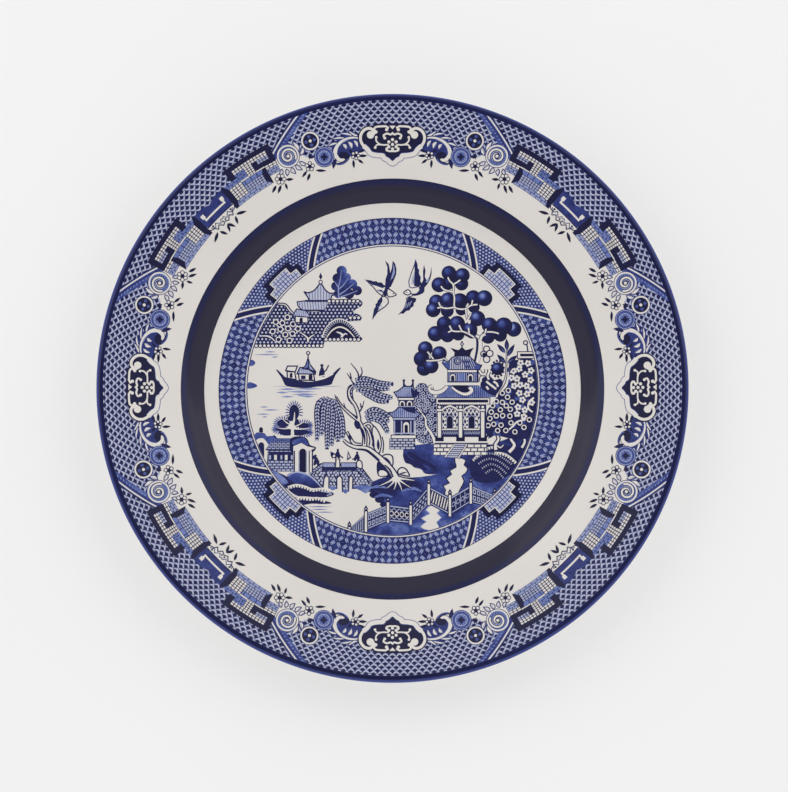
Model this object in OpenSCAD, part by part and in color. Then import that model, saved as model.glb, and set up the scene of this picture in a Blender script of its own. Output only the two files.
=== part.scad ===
// China dinner plate: one fired clay body in four nodes (floor, foot ring, verge and
// flange), its three coats of glaze, the two banded cobalt rings and the fired-on print
// transfers. All sizes are in millimetres. The foot stands on z = 0 and the plate turns
// about the Z axis.

/* [Plate] */
// Diameter over the rim
plate_d = 260; // [250:2:272]
// Height of the eating surface above the table
floor_z = 6.2; // [5.6:0.1:7]
// Wall thickness, glaze included
wall = 3.8; // [3.4:0.1:4.2]
// Radius of the flat floor of the well
floor_r = 72; // [66:1:74]

/* [Verge and flange] */
// Steepest slope of the verge, in degrees
verge_slope = 32; // [26:1:38]
// Radius of the curve from the floor to the verge
well_curve = 20; // [14:1:24]
// Straight length of the verge, along its slope
verge_straight = 5.9; // [2:0.1:7]
// Radius of the curve from the verge to the flange
shoulder_curve = 24; // [16:1:28]
// Slope of the flange, in degrees
flange_slope = 13; // [9:1:16]

/* [Foot ring] */
// Outer radius of the foot at the table
foot_r = 76.6; // [74:0.2:78]
// Width of the flat land that stands on the table
land_w = 2.2; // [1.4:0.2:3]
// Lean of the foot's two walls, in degrees
foot_lean = 18; // [8:1:24]
// Height of the bare clay above the table, where the glaze is wiped off
bare_h = 0.8; // [0.6:0.1:1]

/* [Glaze and print] */
// Thickness of the glaze
glaze = 0.25; // [0.2:0.05:0.3]
// Thickness of the fired-on colour
ink = 0.05; // [0.04:0.01:0.08]
// Width of the cobalt edge band, seen from above
edge_band_w = 3; // [3:0.5:4]
// Radius where the border transfers start
border_r = 97.4; // [96.5:0.1:104]
// Inner and outer radius of the cobalt band on the verge
verge_band_r = [83, 93.2]; // [80:0.2:95]
// Inner and outer radius of the inner border transfer
inner_border_r = [65.3, 76.8]; // [60:0.1:79]
// Inner and outer radius of the line round the scene
keyline_r = [64.1, 64.5]; // [58:0.1:65]

/* [Hidden] */
$fn = 180;

CLAY = "#e6dccb";
WHITE = "#eceae4";
COBALT = "#1d2352";
PRINT = "#46589a";

// Number of border transfers laid end to end round the flange.
border_count = 4;
arc_steps = 12;
lip_r = wall / 2;
well_centre = [floor_r, floor_z + well_curve];
verge_start = well_centre + well_curve * [sin(verge_slope), -cos(verge_slope)];
verge_end = verge_start + verge_straight * [cos(verge_slope), sin(verge_slope)];
shoulder_centre = verge_end - shoulder_curve * [-sin(verge_slope), cos(verge_slope)];
flange_normal = [-sin(flange_slope), cos(flange_slope)];
flange_start = shoulder_centre + shoulder_curve * flange_normal;
// The lip is a half circle whose outermost point is at plate_d / 2.
lip_centre_x = plate_d / 2 - lip_r;
flange_end_x = lip_centre_x + lip_r * flange_normal[0];
flange_end = [flange_end_x,
              flange_start[1] + (flange_end_x - flange_start[0]) * tan(flange_slope)];
lip_centre = flange_end - lip_r * flange_normal;

// Points of an arc round c, from angle a0 to a1.
function arc(c, r, a0, a1, n = arc_steps) =
    [for (i = [0:n]) let (a = a0 + (a1 - a0) * i / n) c + r * [cos(a), sin(a)]];

// Height of the front surface, raised by lift along its own normal, at radius x.
function front_z(x, lift) =
    let (foot_of_curve = floor_r,
         top_of_curve = verge_start[0] - lift * sin(verge_slope),
         top_of_verge = verge_end[0] - lift * sin(verge_slope),
         top_of_shoulder = flange_start[0] - lift * sin(flange_slope))
    x <= foot_of_curve ? floor_z + lift :
    x <= top_of_curve ?
        well_centre[1] - sqrt(pow(well_curve - lift, 2) - pow(x - well_centre[0], 2)) :
    x <= top_of_verge ?
        verge_start[1] + lift / cos(verge_slope) + (x - verge_start[0]) * tan(verge_slope) :
    x <= top_of_shoulder ?
        shoulder_centre[1] + sqrt(pow(shoulder_curve + lift, 2) - pow(x - shoulder_centre[0], 2)) :
    flange_start[1] + lift / cos(flange_slope) + (x - flange_start[0]) * tan(flange_slope);

// The same surface seen from below: the wall's back, lowered by drop from the front.
function back_z(x, drop) = front_z(x, -drop);

// Points along the front surface from radius x0 to x1, about 1.2 mm apart.
function front_points(x0, x1, lift) =
    let (n = max(1, ceil(abs(x1 - x0) / 1.2)))
    [for (i = [0:n]) let (x = x0 + (x1 - x0) * i / n) [x, front_z(x, lift)]];

// Half circle of the lip, as an offset of the glazed surface.
function lip_points(lift, a0 = 90 + flange_slope, a1 = flange_slope - 90) =
    arc(lip_centre, lip_r + lift, a0, a1, 2 * arc_steps);

function reversed(list) = [for (i = [len(list) - 1:-1:0]) list[i]];

// The foot's two walls, each pulled into the clay by inset.
function foot_outer(inset, z) = foot_r - inset + z * tan(foot_lean);
function foot_inner(inset, z) = foot_r - land_w + inset - z * tan(foot_lean);

// Height where the foot's outer wall, pulled in by inset, runs into the back surface.
first_guess = 4.4;
function outer_wall_top(inset, drop, z = first_guess, tries = 6) =
    tries == 0 ? z : outer_wall_top(inset, drop, back_z(foot_outer(inset, z), drop), tries - 1);

underside_z = floor_z - wall;
recess_r = foot_inner(0, underside_z);

// The clay's own back, its underside, and the radii where its four nodes meet.
clay_drop = wall - glaze;
clay_under = underside_z + glaze;
foot_in_r = foot_inner(glaze, clay_under);
foot_top = outer_wall_top(glaze, clay_drop);
foot_out_r = foot_outer(glaze, foot_top);
flange_in_r = flange_start[0];
clay_lip_r = lip_points(-glaze)[0][0];

module turned(points) {
    rotate_extrude() polygon(points);
}

// The skin between two offsets of the front surface, from radius x0 to x1.
module front_skin(x0, x1, low, high, angle = 360) {
    rotate_extrude(angle = angle)
        polygon(concat(front_points(x0, x1, low), front_points(x1, x0, high)));
}

module clay_floor() {
    color(CLAY) translate([0, 0, clay_under])
        cylinder(r = floor_r, h = floor_z - glaze - clay_under);
}

module foot_ring() {
    color(CLAY) turned(concat(
        front_points(foot_in_r, foot_out_r, -clay_drop),
        [[foot_outer(glaze, bare_h), bare_h], [foot_outer(0, bare_h), bare_h]],
        [[foot_outer(0, 0.3), 0.3], [foot_r - 0.3, 0], [foot_r - land_w + 0.3, 0],
         [foot_inner(0, 0.3), 0.3]],
        [[foot_inner(0, bare_h), bare_h], [foot_inner(glaze, bare_h), bare_h]]
    ));
}

module clay_verge() {
    color(CLAY) turned(concat(
        front_points(floor_r, flange_in_r, -glaze),
        front_points(flange_in_r, foot_out_r, -clay_drop),
        front_points(foot_out_r, foot_in_r, -clay_drop),
        front_points(foot_in_r, floor_r, -clay_drop)
    ));
}

module clay_flange() {
    color(CLAY) turned(concat(
        front_points(flange_in_r, clay_lip_r, -glaze),
        lip_points(-glaze),
        front_points(flange_end[0], flange_in_r, -clay_drop)
    ));
}

module front_glaze() {
    color(WHITE) turned(concat(
        [[0, floor_z]],
        front_points(floor_r, flange_end[0], 0),
        lip_points(0, 90 + flange_slope, flange_slope),
        reversed(lip_points(-glaze, 90 + flange_slope, flange_slope)),
        front_points(clay_lip_r, flange_in_r, -glaze),
        front_points(flange_in_r, floor_r, -glaze),
        [[0, floor_z - glaze]]
    ));
}

module back_glaze() {
    outer_top = outer_wall_top(0, wall);
    color(WHITE) turned(concat(
        lip_points(0, flange_slope, flange_slope - 90),
        front_points(lip_points(0)[2 * arc_steps][0], foot_outer(0, outer_top), -wall),
        [[foot_outer(0, bare_h), bare_h], [foot_outer(glaze, bare_h), bare_h]],
        front_points(foot_out_r, flange_in_r, -clay_drop),
        front_points(flange_in_r, flange_end[0], -clay_drop),
        reversed(lip_points(-glaze, flange_slope, flange_slope - 90))
    ));
}

module recess_glaze() {
    color(WHITE) turned([
        [0, underside_z], [recess_r, underside_z],
        [foot_inner(0, bare_h), bare_h], [foot_inner(glaze, bare_h), bare_h],
        [foot_in_r, clay_under], [0, clay_under]
    ]);
}

module edge_band() {
    start = plate_d / 2 - edge_band_w;
    under_lip = flange_slope - 60;
    color(COBALT) turned(concat(
        front_points(start, lip_points(ink)[0][0], ink),
        lip_points(ink, 90 + flange_slope, under_lip),
        reversed(lip_points(0, 90 + flange_slope, under_lip)),
        front_points(flange_end[0], start, 0)
    ));
}

module border_transfer(k) {
    step = 360 / border_count;
    color(PRINT) rotate([0, 0, (k - 1.5) * step])
        front_skin(border_r, plate_d / 2 - edge_band_w, 0, ink, step);
}

module verge_band() {
    color(COBALT) front_skin(verge_band_r[0], verge_band_r[1], 0, ink);
}

module inner_border_transfer() {
    color(PRINT) front_skin(inner_border_r[0], inner_border_r[1], 0, ink);
}

module keyline() {
    color(COBALT) front_skin(keyline_r[0], keyline_r[1], 0, ink);
}

module centre_transfer() {
    color(PRINT) translate([0, 0, floor_z]) cylinder(r = keyline_r[0], h = ink);
}

clay_floor();
foot_ring();
clay_verge();
clay_flange();
front_glaze();
back_glaze();
recess_glaze();
edge_band();
border_transfer(1);  // border_transfer_1
border_transfer(2);  // border_transfer_2
border_transfer(3);  // border_transfer_3
border_transfer(4);  // border_transfer_4
verge_band();
inner_border_transfer();
keyline();
centre_transfer();
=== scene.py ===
import math
import random

import bpy
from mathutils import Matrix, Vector
from mathutils.geometry import delaunay_2d_cdt, tessellate_polygon


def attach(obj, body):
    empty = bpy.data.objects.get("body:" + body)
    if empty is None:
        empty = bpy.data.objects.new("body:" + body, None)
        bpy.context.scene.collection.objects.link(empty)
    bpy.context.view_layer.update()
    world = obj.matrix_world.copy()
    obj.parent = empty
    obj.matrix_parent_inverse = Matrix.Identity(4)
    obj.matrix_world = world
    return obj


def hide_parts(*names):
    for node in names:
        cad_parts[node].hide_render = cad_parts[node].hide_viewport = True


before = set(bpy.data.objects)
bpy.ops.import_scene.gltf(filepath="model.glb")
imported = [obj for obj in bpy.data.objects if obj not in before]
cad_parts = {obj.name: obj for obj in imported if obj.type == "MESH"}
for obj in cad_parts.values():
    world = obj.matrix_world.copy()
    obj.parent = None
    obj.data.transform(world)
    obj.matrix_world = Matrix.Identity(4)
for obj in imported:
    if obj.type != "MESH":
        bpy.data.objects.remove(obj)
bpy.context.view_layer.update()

MM = 0.001
DEG = math.pi / 180

# ---------------------------------------------------------------- the plate's profile
# The same radii, heights and slopes as the CAD, in millimetres and degrees.

PLATE_R = 130.0
FLOOR_Z = 6.2
WALL = 3.8
FLOOR_R = 72.0
VERGE_SLOPE = 32 * DEG
WELL_CURVE = 20.0
VERGE_STRAIGHT = 5.9
SHOULDER_CURVE = 24.0
FLANGE_SLOPE = 13 * DEG
FOOT_R = 76.6
LAND_W = 2.2
FOOT_LEAN = 18 * DEG
BARE_H = 0.8
GLAZE = 0.25
INK = 0.05
EDGE_BAND_W = 3.0
VERGE_BAND_R = (83.0, 93.2)
KEYLINE_R = (64.1, 64.5)
# How far the films of print lie above the glaze.
PRINT_LIFT = 0.035
# Points on each curve of the profile, and how far apart they are on the straight flange.
CURVE_STEPS = 14
LIP_STEPS = 20
FLANGE_STEP = 5

LIP_R = WALL / 2
WELL_CENTRE = (FLOOR_R, FLOOR_Z + WELL_CURVE)
VERGE_START = (WELL_CENTRE[0] + WELL_CURVE * math.sin(VERGE_SLOPE),
               WELL_CENTRE[1] - WELL_CURVE * math.cos(VERGE_SLOPE))
VERGE_END = (VERGE_START[0] + VERGE_STRAIGHT * math.cos(VERGE_SLOPE),
             VERGE_START[1] + VERGE_STRAIGHT * math.sin(VERGE_SLOPE))
SHOULDER_CENTRE = (VERGE_END[0] + SHOULDER_CURVE * math.sin(VERGE_SLOPE),
                   VERGE_END[1] - SHOULDER_CURVE * math.cos(VERGE_SLOPE))
FLANGE_START = (SHOULDER_CENTRE[0] - SHOULDER_CURVE * math.sin(FLANGE_SLOPE),
                SHOULDER_CENTRE[1] + SHOULDER_CURVE * math.cos(FLANGE_SLOPE))
FLANGE_END_X = PLATE_R - LIP_R - LIP_R * math.sin(FLANGE_SLOPE)
FLANGE_END = (FLANGE_END_X,
              FLANGE_START[1] + (FLANGE_END_X - FLANGE_START[0]) * math.tan(FLANGE_SLOPE))
LIP_CENTRE = (FLANGE_END[0] + LIP_R * math.sin(FLANGE_SLOPE),
              FLANGE_END[1] - LIP_R * math.cos(FLANGE_SLOPE))
# Angles round the lip, in degrees: the flange's top, where the two coats of glaze meet,
# the flange's underside, and the lower end of the edge band.
LIP_TOP = 90 + 13
LIP_SIDE = 13
LIP_UNDER = 13 - 90
BAND_END = 13 - 60


def front_z(x, lift):
    """Height of the front surface, raised by lift along its normal, at radius x."""
    if x <= FLOOR_R:
        return FLOOR_Z + lift
    if x <= VERGE_START[0] - lift * math.sin(VERGE_SLOPE):
        reach = WELL_CURVE - lift
        return WELL_CENTRE[1] - math.sqrt(reach ** 2 - (x - WELL_CENTRE[0]) ** 2)
    if x <= VERGE_END[0] - lift * math.sin(VERGE_SLOPE):
        rise = (x - VERGE_START[0]) * math.tan(VERGE_SLOPE)
        return VERGE_START[1] + lift / math.cos(VERGE_SLOPE) + rise
    if x <= FLANGE_START[0] - lift * math.sin(FLANGE_SLOPE):
        reach = SHOULDER_CURVE + lift
        return SHOULDER_CENTRE[1] + math.sqrt(reach ** 2 - (x - SHOULDER_CENTRE[0]) ** 2)
    rise = (x - FLANGE_START[0]) * math.tan(FLANGE_SLOPE)
    return FLANGE_START[1] + lift / math.cos(FLANGE_SLOPE) + rise


def front_slope(x):
    """Slope of the front surface at radius x, in radians."""
    if x <= FLOOR_R:
        return 0.0
    if x <= VERGE_START[0]:
        return math.asin((x - FLOOR_R) / WELL_CURVE)
    if x <= VERGE_END[0]:
        return VERGE_SLOPE
    if x <= FLANGE_START[0]:
        return math.asin((SHOULDER_CENTRE[0] - x) / SHOULDER_CURVE)
    return FLANGE_SLOPE


def front_line(x0, x1, lift):
    """Points along the front surface, close together only where it curves."""
    low, high = min(x0, x1), max(x0, x1)
    stops = {low, high}
    for start, end in ((FLOOR_R, VERGE_START[0]), (VERGE_END[0], FLANGE_START[0])):
        stops.update(start + (end - start) * i / CURVE_STEPS for i in range(CURVE_STEPS + 1))
    stops.update(range(100, int(PLATE_R), FLANGE_STEP))
    stops = sorted(s for s in stops if low <= s <= high)
    kept = [s for i, s in enumerate(stops) if i == 0 or s - stops[i - 1] > 0.02]
    if x0 > x1:
        kept.reverse()
    return [(s, front_z(s, lift)) for s in kept]


def lip_line(lift, start, end):
    """Arc of the lip from angle start to angle end, in degrees."""
    points = []
    for i in range(LIP_STEPS + 1):
        a = (start + (end - start) * i / LIP_STEPS) * DEG
        points.append((LIP_CENTRE[0] + (LIP_R + lift) * math.cos(a),
                       LIP_CENTRE[1] + (LIP_R + lift) * math.sin(a)))
    return points


def foot_outer(inset, z):
    return FOOT_R - inset + z * math.tan(FOOT_LEAN)


def foot_inner(inset, z):
    return FOOT_R - LAND_W + inset - z * math.tan(FOOT_LEAN)


def outer_wall_top(inset, drop):
    """Height where the foot's outer wall runs into the back surface.

    It is found from a first guess that each pass brings closer."""
    z = 4.4
    for _ in range(8):
        z = front_z(foot_outer(inset, z), -drop)
    return z


# ---------------------------------------------------------------- meshes

def new_object(name, mesh):
    obj = bpy.data.objects.new(name, mesh)
    bpy.context.scene.collection.objects.link(obj)
    return obj


def lathe(name, profile):
    """A closed profile in millimetres, turned about the Z axis in one-degree steps."""
    segments = 360
    verts, rings, faces = [], [], []
    for r, z in profile:
        count = 1 if r < 1e-6 else segments
        turns = [2 * math.pi * k / segments for k in range(count)]
        rings.append(range(len(verts), len(verts) + count))
        verts.extend((r * MM * math.cos(a), r * MM * math.sin(a), z * MM) for a in turns)
    for a, b in zip(rings, rings[1:] + rings[:1]):
        for k in range(max(len(a), len(b))):
            corners = (a[k % len(a)], b[k % len(b)], b[(k + 1) % len(b)], a[(k + 1) % len(a)])
            face = tuple(dict.fromkeys(corners))
            if len(face) > 2:
                faces.append(face)
    mesh = bpy.data.meshes.new(name)
    mesh.from_pydata(verts, [], faces)
    mesh.validate()
    mesh.update()
    mesh.polygons.foreach_set("use_smooth", [True] * len(mesh.polygons))
    mesh.set_sharp_from_angle(angle=20 * DEG)
    return new_object(name, mesh)


# ---------------------------------------------------------------- tones of the print
# From 0, the bare white glaze, to 1, the darkest cobalt.

NAVY = 1.0
DARK = 0.9
DEEP = 0.74
MID = 0.58
SOFT = 0.42
PALE = 0.28
FAINT = 0.16

# ---------------------------------------------------------------- drawing engine
# The print is drawn as flat shapes in millimetres, later shapes hiding earlier ones.
# The result is a film of ink that lies on the glaze and is open where the plate is white.

def polar(angle, r):
    """Point at radius r, angle degrees clockwise from the top."""
    return (r * math.sin(angle * DEG), r * math.cos(angle * DEG))


def polar_path(points, closed=True):
    """Outline given as angle and radius, with arcs kept round."""
    out = []
    count = len(points)
    for i in range(count if closed else count - 1):
        a = points[i]
        b = points[(i + 1) % count]
        steps = max(1, math.ceil(abs(b[0] - a[0]) / 1.25))
        for k in range(steps):
            t = k / steps
            out.append(polar(a[0] + (b[0] - a[0]) * t, a[1] + (b[1] - a[1]) * t))
    if not closed:
        out.append(polar(*points[-1]))
    return out


def at_polar(angle, r):
    """Map for a motif drawn about (0, 0), with +y outwards, to a place on the plate."""
    s, c = math.sin(angle * DEG), math.cos(angle * DEG)
    return lambda p: ((r + p[1]) * s + p[0] * c, (r + p[1]) * c - p[0] * s)


def smooth(points, steps=4, closed=False):
    """A smooth curve through the points."""
    count = len(points)
    out = []
    for i in range(count if closed else count - 1):
        p1, p2 = points[i], points[(i + 1) % count]
        p0 = points[(i - 1) % count] if closed or i > 0 else p1
        p3 = points[(i + 2) % count] if closed or i + 2 < count else p2
        for k in range(steps):
            t = k / steps
            out.append(tuple(0.5 * (2 * p1[j] + (p2[j] - p0[j]) * t
                       + (2 * p0[j] - 5 * p1[j] + 4 * p2[j] - p3[j]) * t * t
                       + (3 * p1[j] - p0[j] - 3 * p2[j] + p3[j]) * t ** 3)
                       for j in (0, 1)))
    if not closed:
        out.append(points[-1])
    return out


def loop(points, steps=3):
    """A smooth closed outline through the points."""
    return smooth(points, steps, True)


def polar_curve(points):
    """A smooth open curve through points given as angle and radius."""
    return polar_path(smooth(points), False)


def cell(left, right, low, high):
    """Small four-cornered patch between two angles and two radii."""
    return [polar(left, low), polar(right, low), polar(right, high), polar(left, high)]


def rect(x0, y0, x1, y1):
    return [(x0, y0), (x1, y0), (x1, y1), (x0, y1)]


def sector(a0, a1, r0, r1):
    """Outline between two angles and two radii, with its arcs kept round."""
    return polar_path([(a0, r0), (a1, r0), (a1, r1), (a0, r1)])


def around(x, y, r, angle):
    """Point at distance r from (x, y), angle degrees anticlockwise from +x."""
    return (x + r * math.cos(angle * DEG), y + r * math.sin(angle * DEG))


def circle(x, y, r, sides=12, start=0, end=360):
    """Points on a circle, or on an arc of one, anticlockwise from +x."""
    count = sides if end - start == 360 else sides + 1
    return [around(x, y, r, start + (end - start) * i / sides) for i in range(count)]


def leaf_outline(base, tip, width, bend):
    """A pointed leaf from base to tip; bend bows it sideways."""
    steps = 5
    dx, dy = tip[0] - base[0], tip[1] - base[1]
    length = math.hypot(dx, dy) or 1e-6
    nx, ny = -dy / length, dx / length
    left, right = [], []
    for i in range(1, steps):
        t = i / steps
        half = width / 2 * math.sin(math.pi * t ** 0.85)
        bow = bend * math.sin(math.pi * t)
        cx, cy = base[0] + dx * t + nx * bow, base[1] + dy * t + ny * bow
        left.append((cx + nx * half, cy + ny * half))
        right.append((cx - nx * half, cy - ny * half))
    return [base] + right + [tip] + left[::-1]


def ribbon(points, width, closed):
    """Quads of a line of one width, or of a width that changes from end to end."""
    count = len(points)
    if closed and math.dist(points[0], points[-1]) < 1e-6:
        points = points[:-1]
        count -= 1
    widths = width if isinstance(width, (tuple, list)) else (width, width)
    sides = []
    for i, p in enumerate(points):
        before = points[i - 1] if i or closed else p
        after = points[(i + 1) % count] if i + 1 < count or closed else p
        ax, ay = p[0] - before[0], p[1] - before[1]
        bx, by = after[0] - p[0], after[1] - p[1]
        la, lb = math.hypot(ax, ay), math.hypot(bx, by)
        if la < 1e-9:
            ax, ay, la = bx, by, lb
        if lb < 1e-9:
            bx, by, lb = ax, ay, la
        la, lb = la or 1.0, lb or 1.0
        tx, ty = ax / la + bx / lb, ay / la + by / lb
        size = math.hypot(tx, ty)
        if size < 0.35:
            tx, ty, size = ax / la, ay / la, 1.0
        tx, ty = tx / size, ty / size
        cosine = max(0.45, tx * ax / la + ty * ay / la)
        place = i / max(1, count - 1) * (len(widths) - 1)
        k = min(int(place), len(widths) - 2)
        half = (widths[k] + (widths[k + 1] - widths[k]) * (place - k)) / 2 / cosine
        sides.append(((p[0] - ty * half, p[1] + tx * half),
                      (p[0] + ty * half, p[1] - tx * half)))
    quads = []
    for i in range(count if closed else count - 1):
        a, b = sides[i], sides[(i + 1) % count]
        quads.append(hull([a[0], b[0], b[1], a[1]]))
    return quads


def cross(o, a, b):
    return (a[0] - o[0]) * (b[1] - o[1]) - (a[1] - o[1]) * (b[0] - o[0])


def hull(points):
    """Convex hull, anticlockwise, so that a pinched quad can't cross itself."""
    points = sorted(points)
    rows = []
    for ordered in (points, points[::-1]):
        row = []
        for p in ordered:
            while len(row) > 1 and cross(row[-2], row[-1], p) <= 0:
                row.pop()
            row.append(p)
        rows += row[:-1]
    return rows


def crosses_itself(points):
    """Whether any two sides of the outline cross."""
    count = len(points)
    for i in range(count):
        a, b = points[i], points[(i + 1) % count]
        low_x, high_x = min(a[0], b[0]), max(a[0], b[0])
        low_y, high_y = min(a[1], b[1]), max(a[1], b[1])
        for k in range(i + 2, count - (i == 0)):
            c, d = points[k], points[(k + 1) % count]
            if c[0] > high_x and d[0] > high_x or c[0] < low_x and d[0] < low_x:
                continue
            if c[1] > high_y and d[1] > high_y or c[1] < low_y and d[1] < low_y:
                continue
            if cross(a, b, c) * cross(a, b, d) <= 0 and cross(c, d, a) * cross(c, d, b) <= 0:
                return True
    return False


class Drawing:
    """Shapes in paint order. Each has a tone from 0, white, to 1, darkest cobalt."""

    def __init__(self, window):
        self.outlines = []
        self.paint = []
        self.piece = ""
        self.place = None
        self.clip = None
        self.cuts = []
        self.fill(window, 0)

    def fill(self, points, tone, mottle=0.0, placed=False):
        if self.place and not placed:
            points = [self.place(p) for p in points]
        if len(points) > 4 and crosses_itself(points):
            corners = tessellate_polygon([[Vector((*p, 0)) for p in points]])
            for corner in corners:
                self.fill([points[i] for i in corner], tone, mottle, True)
            return
        area = 0.0
        for i, p in enumerate(points):
            q = points[(i + 1) % len(points)]
            area += p[0] * q[1] - q[0] * p[1]
        if abs(area) < 1e-4:
            return
        self.outlines.append(points if area > 0 else points[::-1])
        self.paint.append((tone, mottle, self.piece, self.clip))

    def mask(self, points, tone, mottle=0.0):
        """Fill an outline, and keep all that follows inside it until unmask."""
        self.clip = None
        start = len(self.outlines)
        self.fill(points, tone, mottle)
        self.clip = (start, len(self.outlines))

    def unmask(self):
        self.clip = None

    def line(self, points, width, tone, closed=False, mottle=0.0):
        for quad in ribbon(points, width, closed):
            self.fill(quad, tone, mottle)

    def stroke(self, x0, y0, x1, y1, width, tone):
        self.line([(x0, y0), (x1, y1)], width, tone)

    def rope(self, points, outer, inner):
        """White line with a dark edge."""
        self.line(points, outer, DARK)
        self.line(points, inner, 0)

    def box(self, x0, y0, x1, y1, tone, mottle=0.0):
        self.fill(rect(x0, y0, x1, y1), tone, mottle)

    def arch(self, x, y, width, height, tone, mottle=0.0):
        self.fill(arch(x, y, width, height), tone, mottle)

    def edged(self, points, edge_width, edge_tone, tone, mottle=0.0):
        self.fill(points, tone, mottle)
        self.line(points, edge_width, edge_tone, closed=True)

    def dot(self, x, y, r, tone, sides=8):
        self.fill(circle(x, y, r, sides), tone)

    def discs(self, x, y, sides, *discs):
        """Discs on one centre, each smaller than the last: radius and tone."""
        for r, tone in discs:
            self.dot(x, y, r, tone, sides)

    def ring(self, x, y, r, width, tone, inside, sides):
        self.dot(x, y, r, tone, sides)
        self.dot(x, y, r - width, inside, sides)

    def leaf(self, base, tip, width, tone, bend=0.0, mottle=0.0):
        self.fill(leaf_outline(base, tip, width, bend), tone, mottle)

    def topmost(self, owner):
        """Index of the shape that shows, of those that cover a spot."""
        for index in sorted(owner, reverse=True):
            clip = self.paint[index][3]
            if clip is None or any(clip[0] <= other < clip[1] for other in owner):
                return index
        return 0

    def triangles(self):
        """Triangles of the finished drawing: three points with a tone each, mottle, piece."""
        points, faces, edges = [], [], []
        for outline in self.outlines:
            start = len(points)
            points.extend(Vector(p) for p in outline)
            faces.append(list(range(start, len(points))))
        for path in self.cuts:
            start = len(points)
            points.extend(Vector(p) for p in path)
            edges.extend((i, i + 1) for i in range(start, len(points) - 1))
        verts, _, tris, _, _, owners = delaunay_2d_cdt(points, edges, faces, 0, 1e-5, True)
        found = []
        for tri, owner in zip(tris, owners):
            if 0 not in owner:
                continue
            tone, mottle, piece, _ = self.paint[self.topmost(owner)]
            if not callable(tone) and tone <= 0:
                continue
            corners = [tuple(verts[i]) for i in tri]
            (x0, y0), (x1, y1), (x2, y2) = corners
            if abs((x1 - x0) * (y2 - y0) - (x2 - x0) * (y1 - y0)) < 2e-7:
                continue
            tones = [tone(x, y) if callable(tone) else tone for x, y in corners]
            found.append((corners, tones, mottle, piece))
        return found


def film(name, triangles):
    """An open sheet of ink that follows the plate's front surface."""
    index = {}
    verts, normals, faces, tones, mottles = [], [], [], [], []
    for corners, corner_tones, mottle, _ in triangles:
        face = []
        for x, y in corners:
            key = (round(x, 4), round(y, 4))
            if key not in index:
                r = math.hypot(x, y)
                slope = front_slope(r)
                index[key] = len(verts)
                verts.append((x * MM, y * MM, front_z(r, PRINT_LIFT) * MM))
                tilt = -math.sin(slope) / r if r > 1e-6 else 0.0
                normals.append((x * tilt, y * tilt, math.cos(slope)))
            face.append(index[key])
        if len(set(face)) < 3:
            continue
        faces.append(face)
        tones.extend(corner_tones)
        mottles.extend([mottle] * 3)
    mesh = bpy.data.meshes.new(name)
    mesh.from_pydata(verts, [], faces)
    mesh.update()
    mesh.attributes.new("tone", "FLOAT", "CORNER").data.foreach_set("value", tones)
    mesh.attributes.new("mottle", "FLOAT", "CORNER").data.foreach_set("value", mottles)
    mesh.polygons.foreach_set("use_smooth", [True] * len(mesh.polygons))
    mesh.normals_split_custom_set_from_vertices(normals)
    return new_object(name, mesh)


def mirrored(triangles):
    """The triangles and their mirror image in the Y axis."""
    other = []
    for corners, tones, mottle, piece in triangles:
        flipped = [(-x, y) for x, y in corners][::-1]
        other.append((flipped, tones[::-1], mottle, piece))
    return triangles + other


def turned(triangles, quarter):
    """The triangles turned clockwise by a number of quarter turns."""
    s = (0, 1, 0, -1)[quarter % 4]
    c = (1, 0, -1, 0)[quarter % 4]
    return [([(x * c + y * s, y * c - x * s) for x, y in corners], tones, mottle, piece)
            for corners, tones, mottle, piece in triangles]


# ---------------------------------------------------------------- outer border
# One eighth of the border, from 0 to 45 degrees clockwise from the top.

BORDER_IN = 97.5
BORDER_OUT = 127.1
CELL_ANGLE = 1.5
ROW_STEP = 1.6
# Where the lattice ends towards the centre: angle and radius, read between the points.
LATTICE_FOOT = (
    (0, 115.6), (4.4, 115.6), (6.6, 112.4), (7.8, 111.8), (12, 111.2), (14.6, 108.4),
    (19.4, 107.6), (21, 110.4), (22.2, 113.4), (26.6, 114.4), (27, 117), (38, 117),
    (38.2, 114.6), (45, 112.4))


def between(points, x):
    """Value at x of the line through the points."""
    for (x0, y0), (x1, y1) in zip(points, points[1:]):
        if x <= x1:
            return y0 + (y1 - y0) * (x - x0) / (x1 - x0)
    return points[-1][1]


def lattice(d):
    """Rows of white check marks whose arms meet, on a blue ground with dark diamonds."""
    check = (
        (-0.96, 0.48), (-0.68, 0.68), (-0.3, 0.38), (0, 0.3), (0.3, 0.38), (0.68, 0.68),
        (0.96, 0.48), (0, -0.42))
    diamond = ((0, 0.4), (0.46, 0.66), (0, 0.98), (-0.46, 0.66))
    d.fill(polar_path(list(LATTICE_FOOT) + [(45, BORDER_OUT + 1), (0, BORDER_OUT + 1)]), 0.86, 0.3)
    rows = int((BORDER_OUT - 104) / ROW_STEP)
    for row in range(rows + 1):
        r = BORDER_OUT - 0.2 - row * ROW_STEP
        first = 0 if row % 2 == 0 else 0.5
        for column in range(31):
            angle = (column + first) * CELL_ANGLE
            if r < between(LATTICE_FOOT, min(angle, 45)):
                continue
            for shape, tone in ((diamond, NAVY), (check, 0.13)):
                d.fill([
                    polar(angle + u * CELL_ANGLE / 2, r + v * ROW_STEP) for u,
                    v in shape], tone, 0.2)


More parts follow.
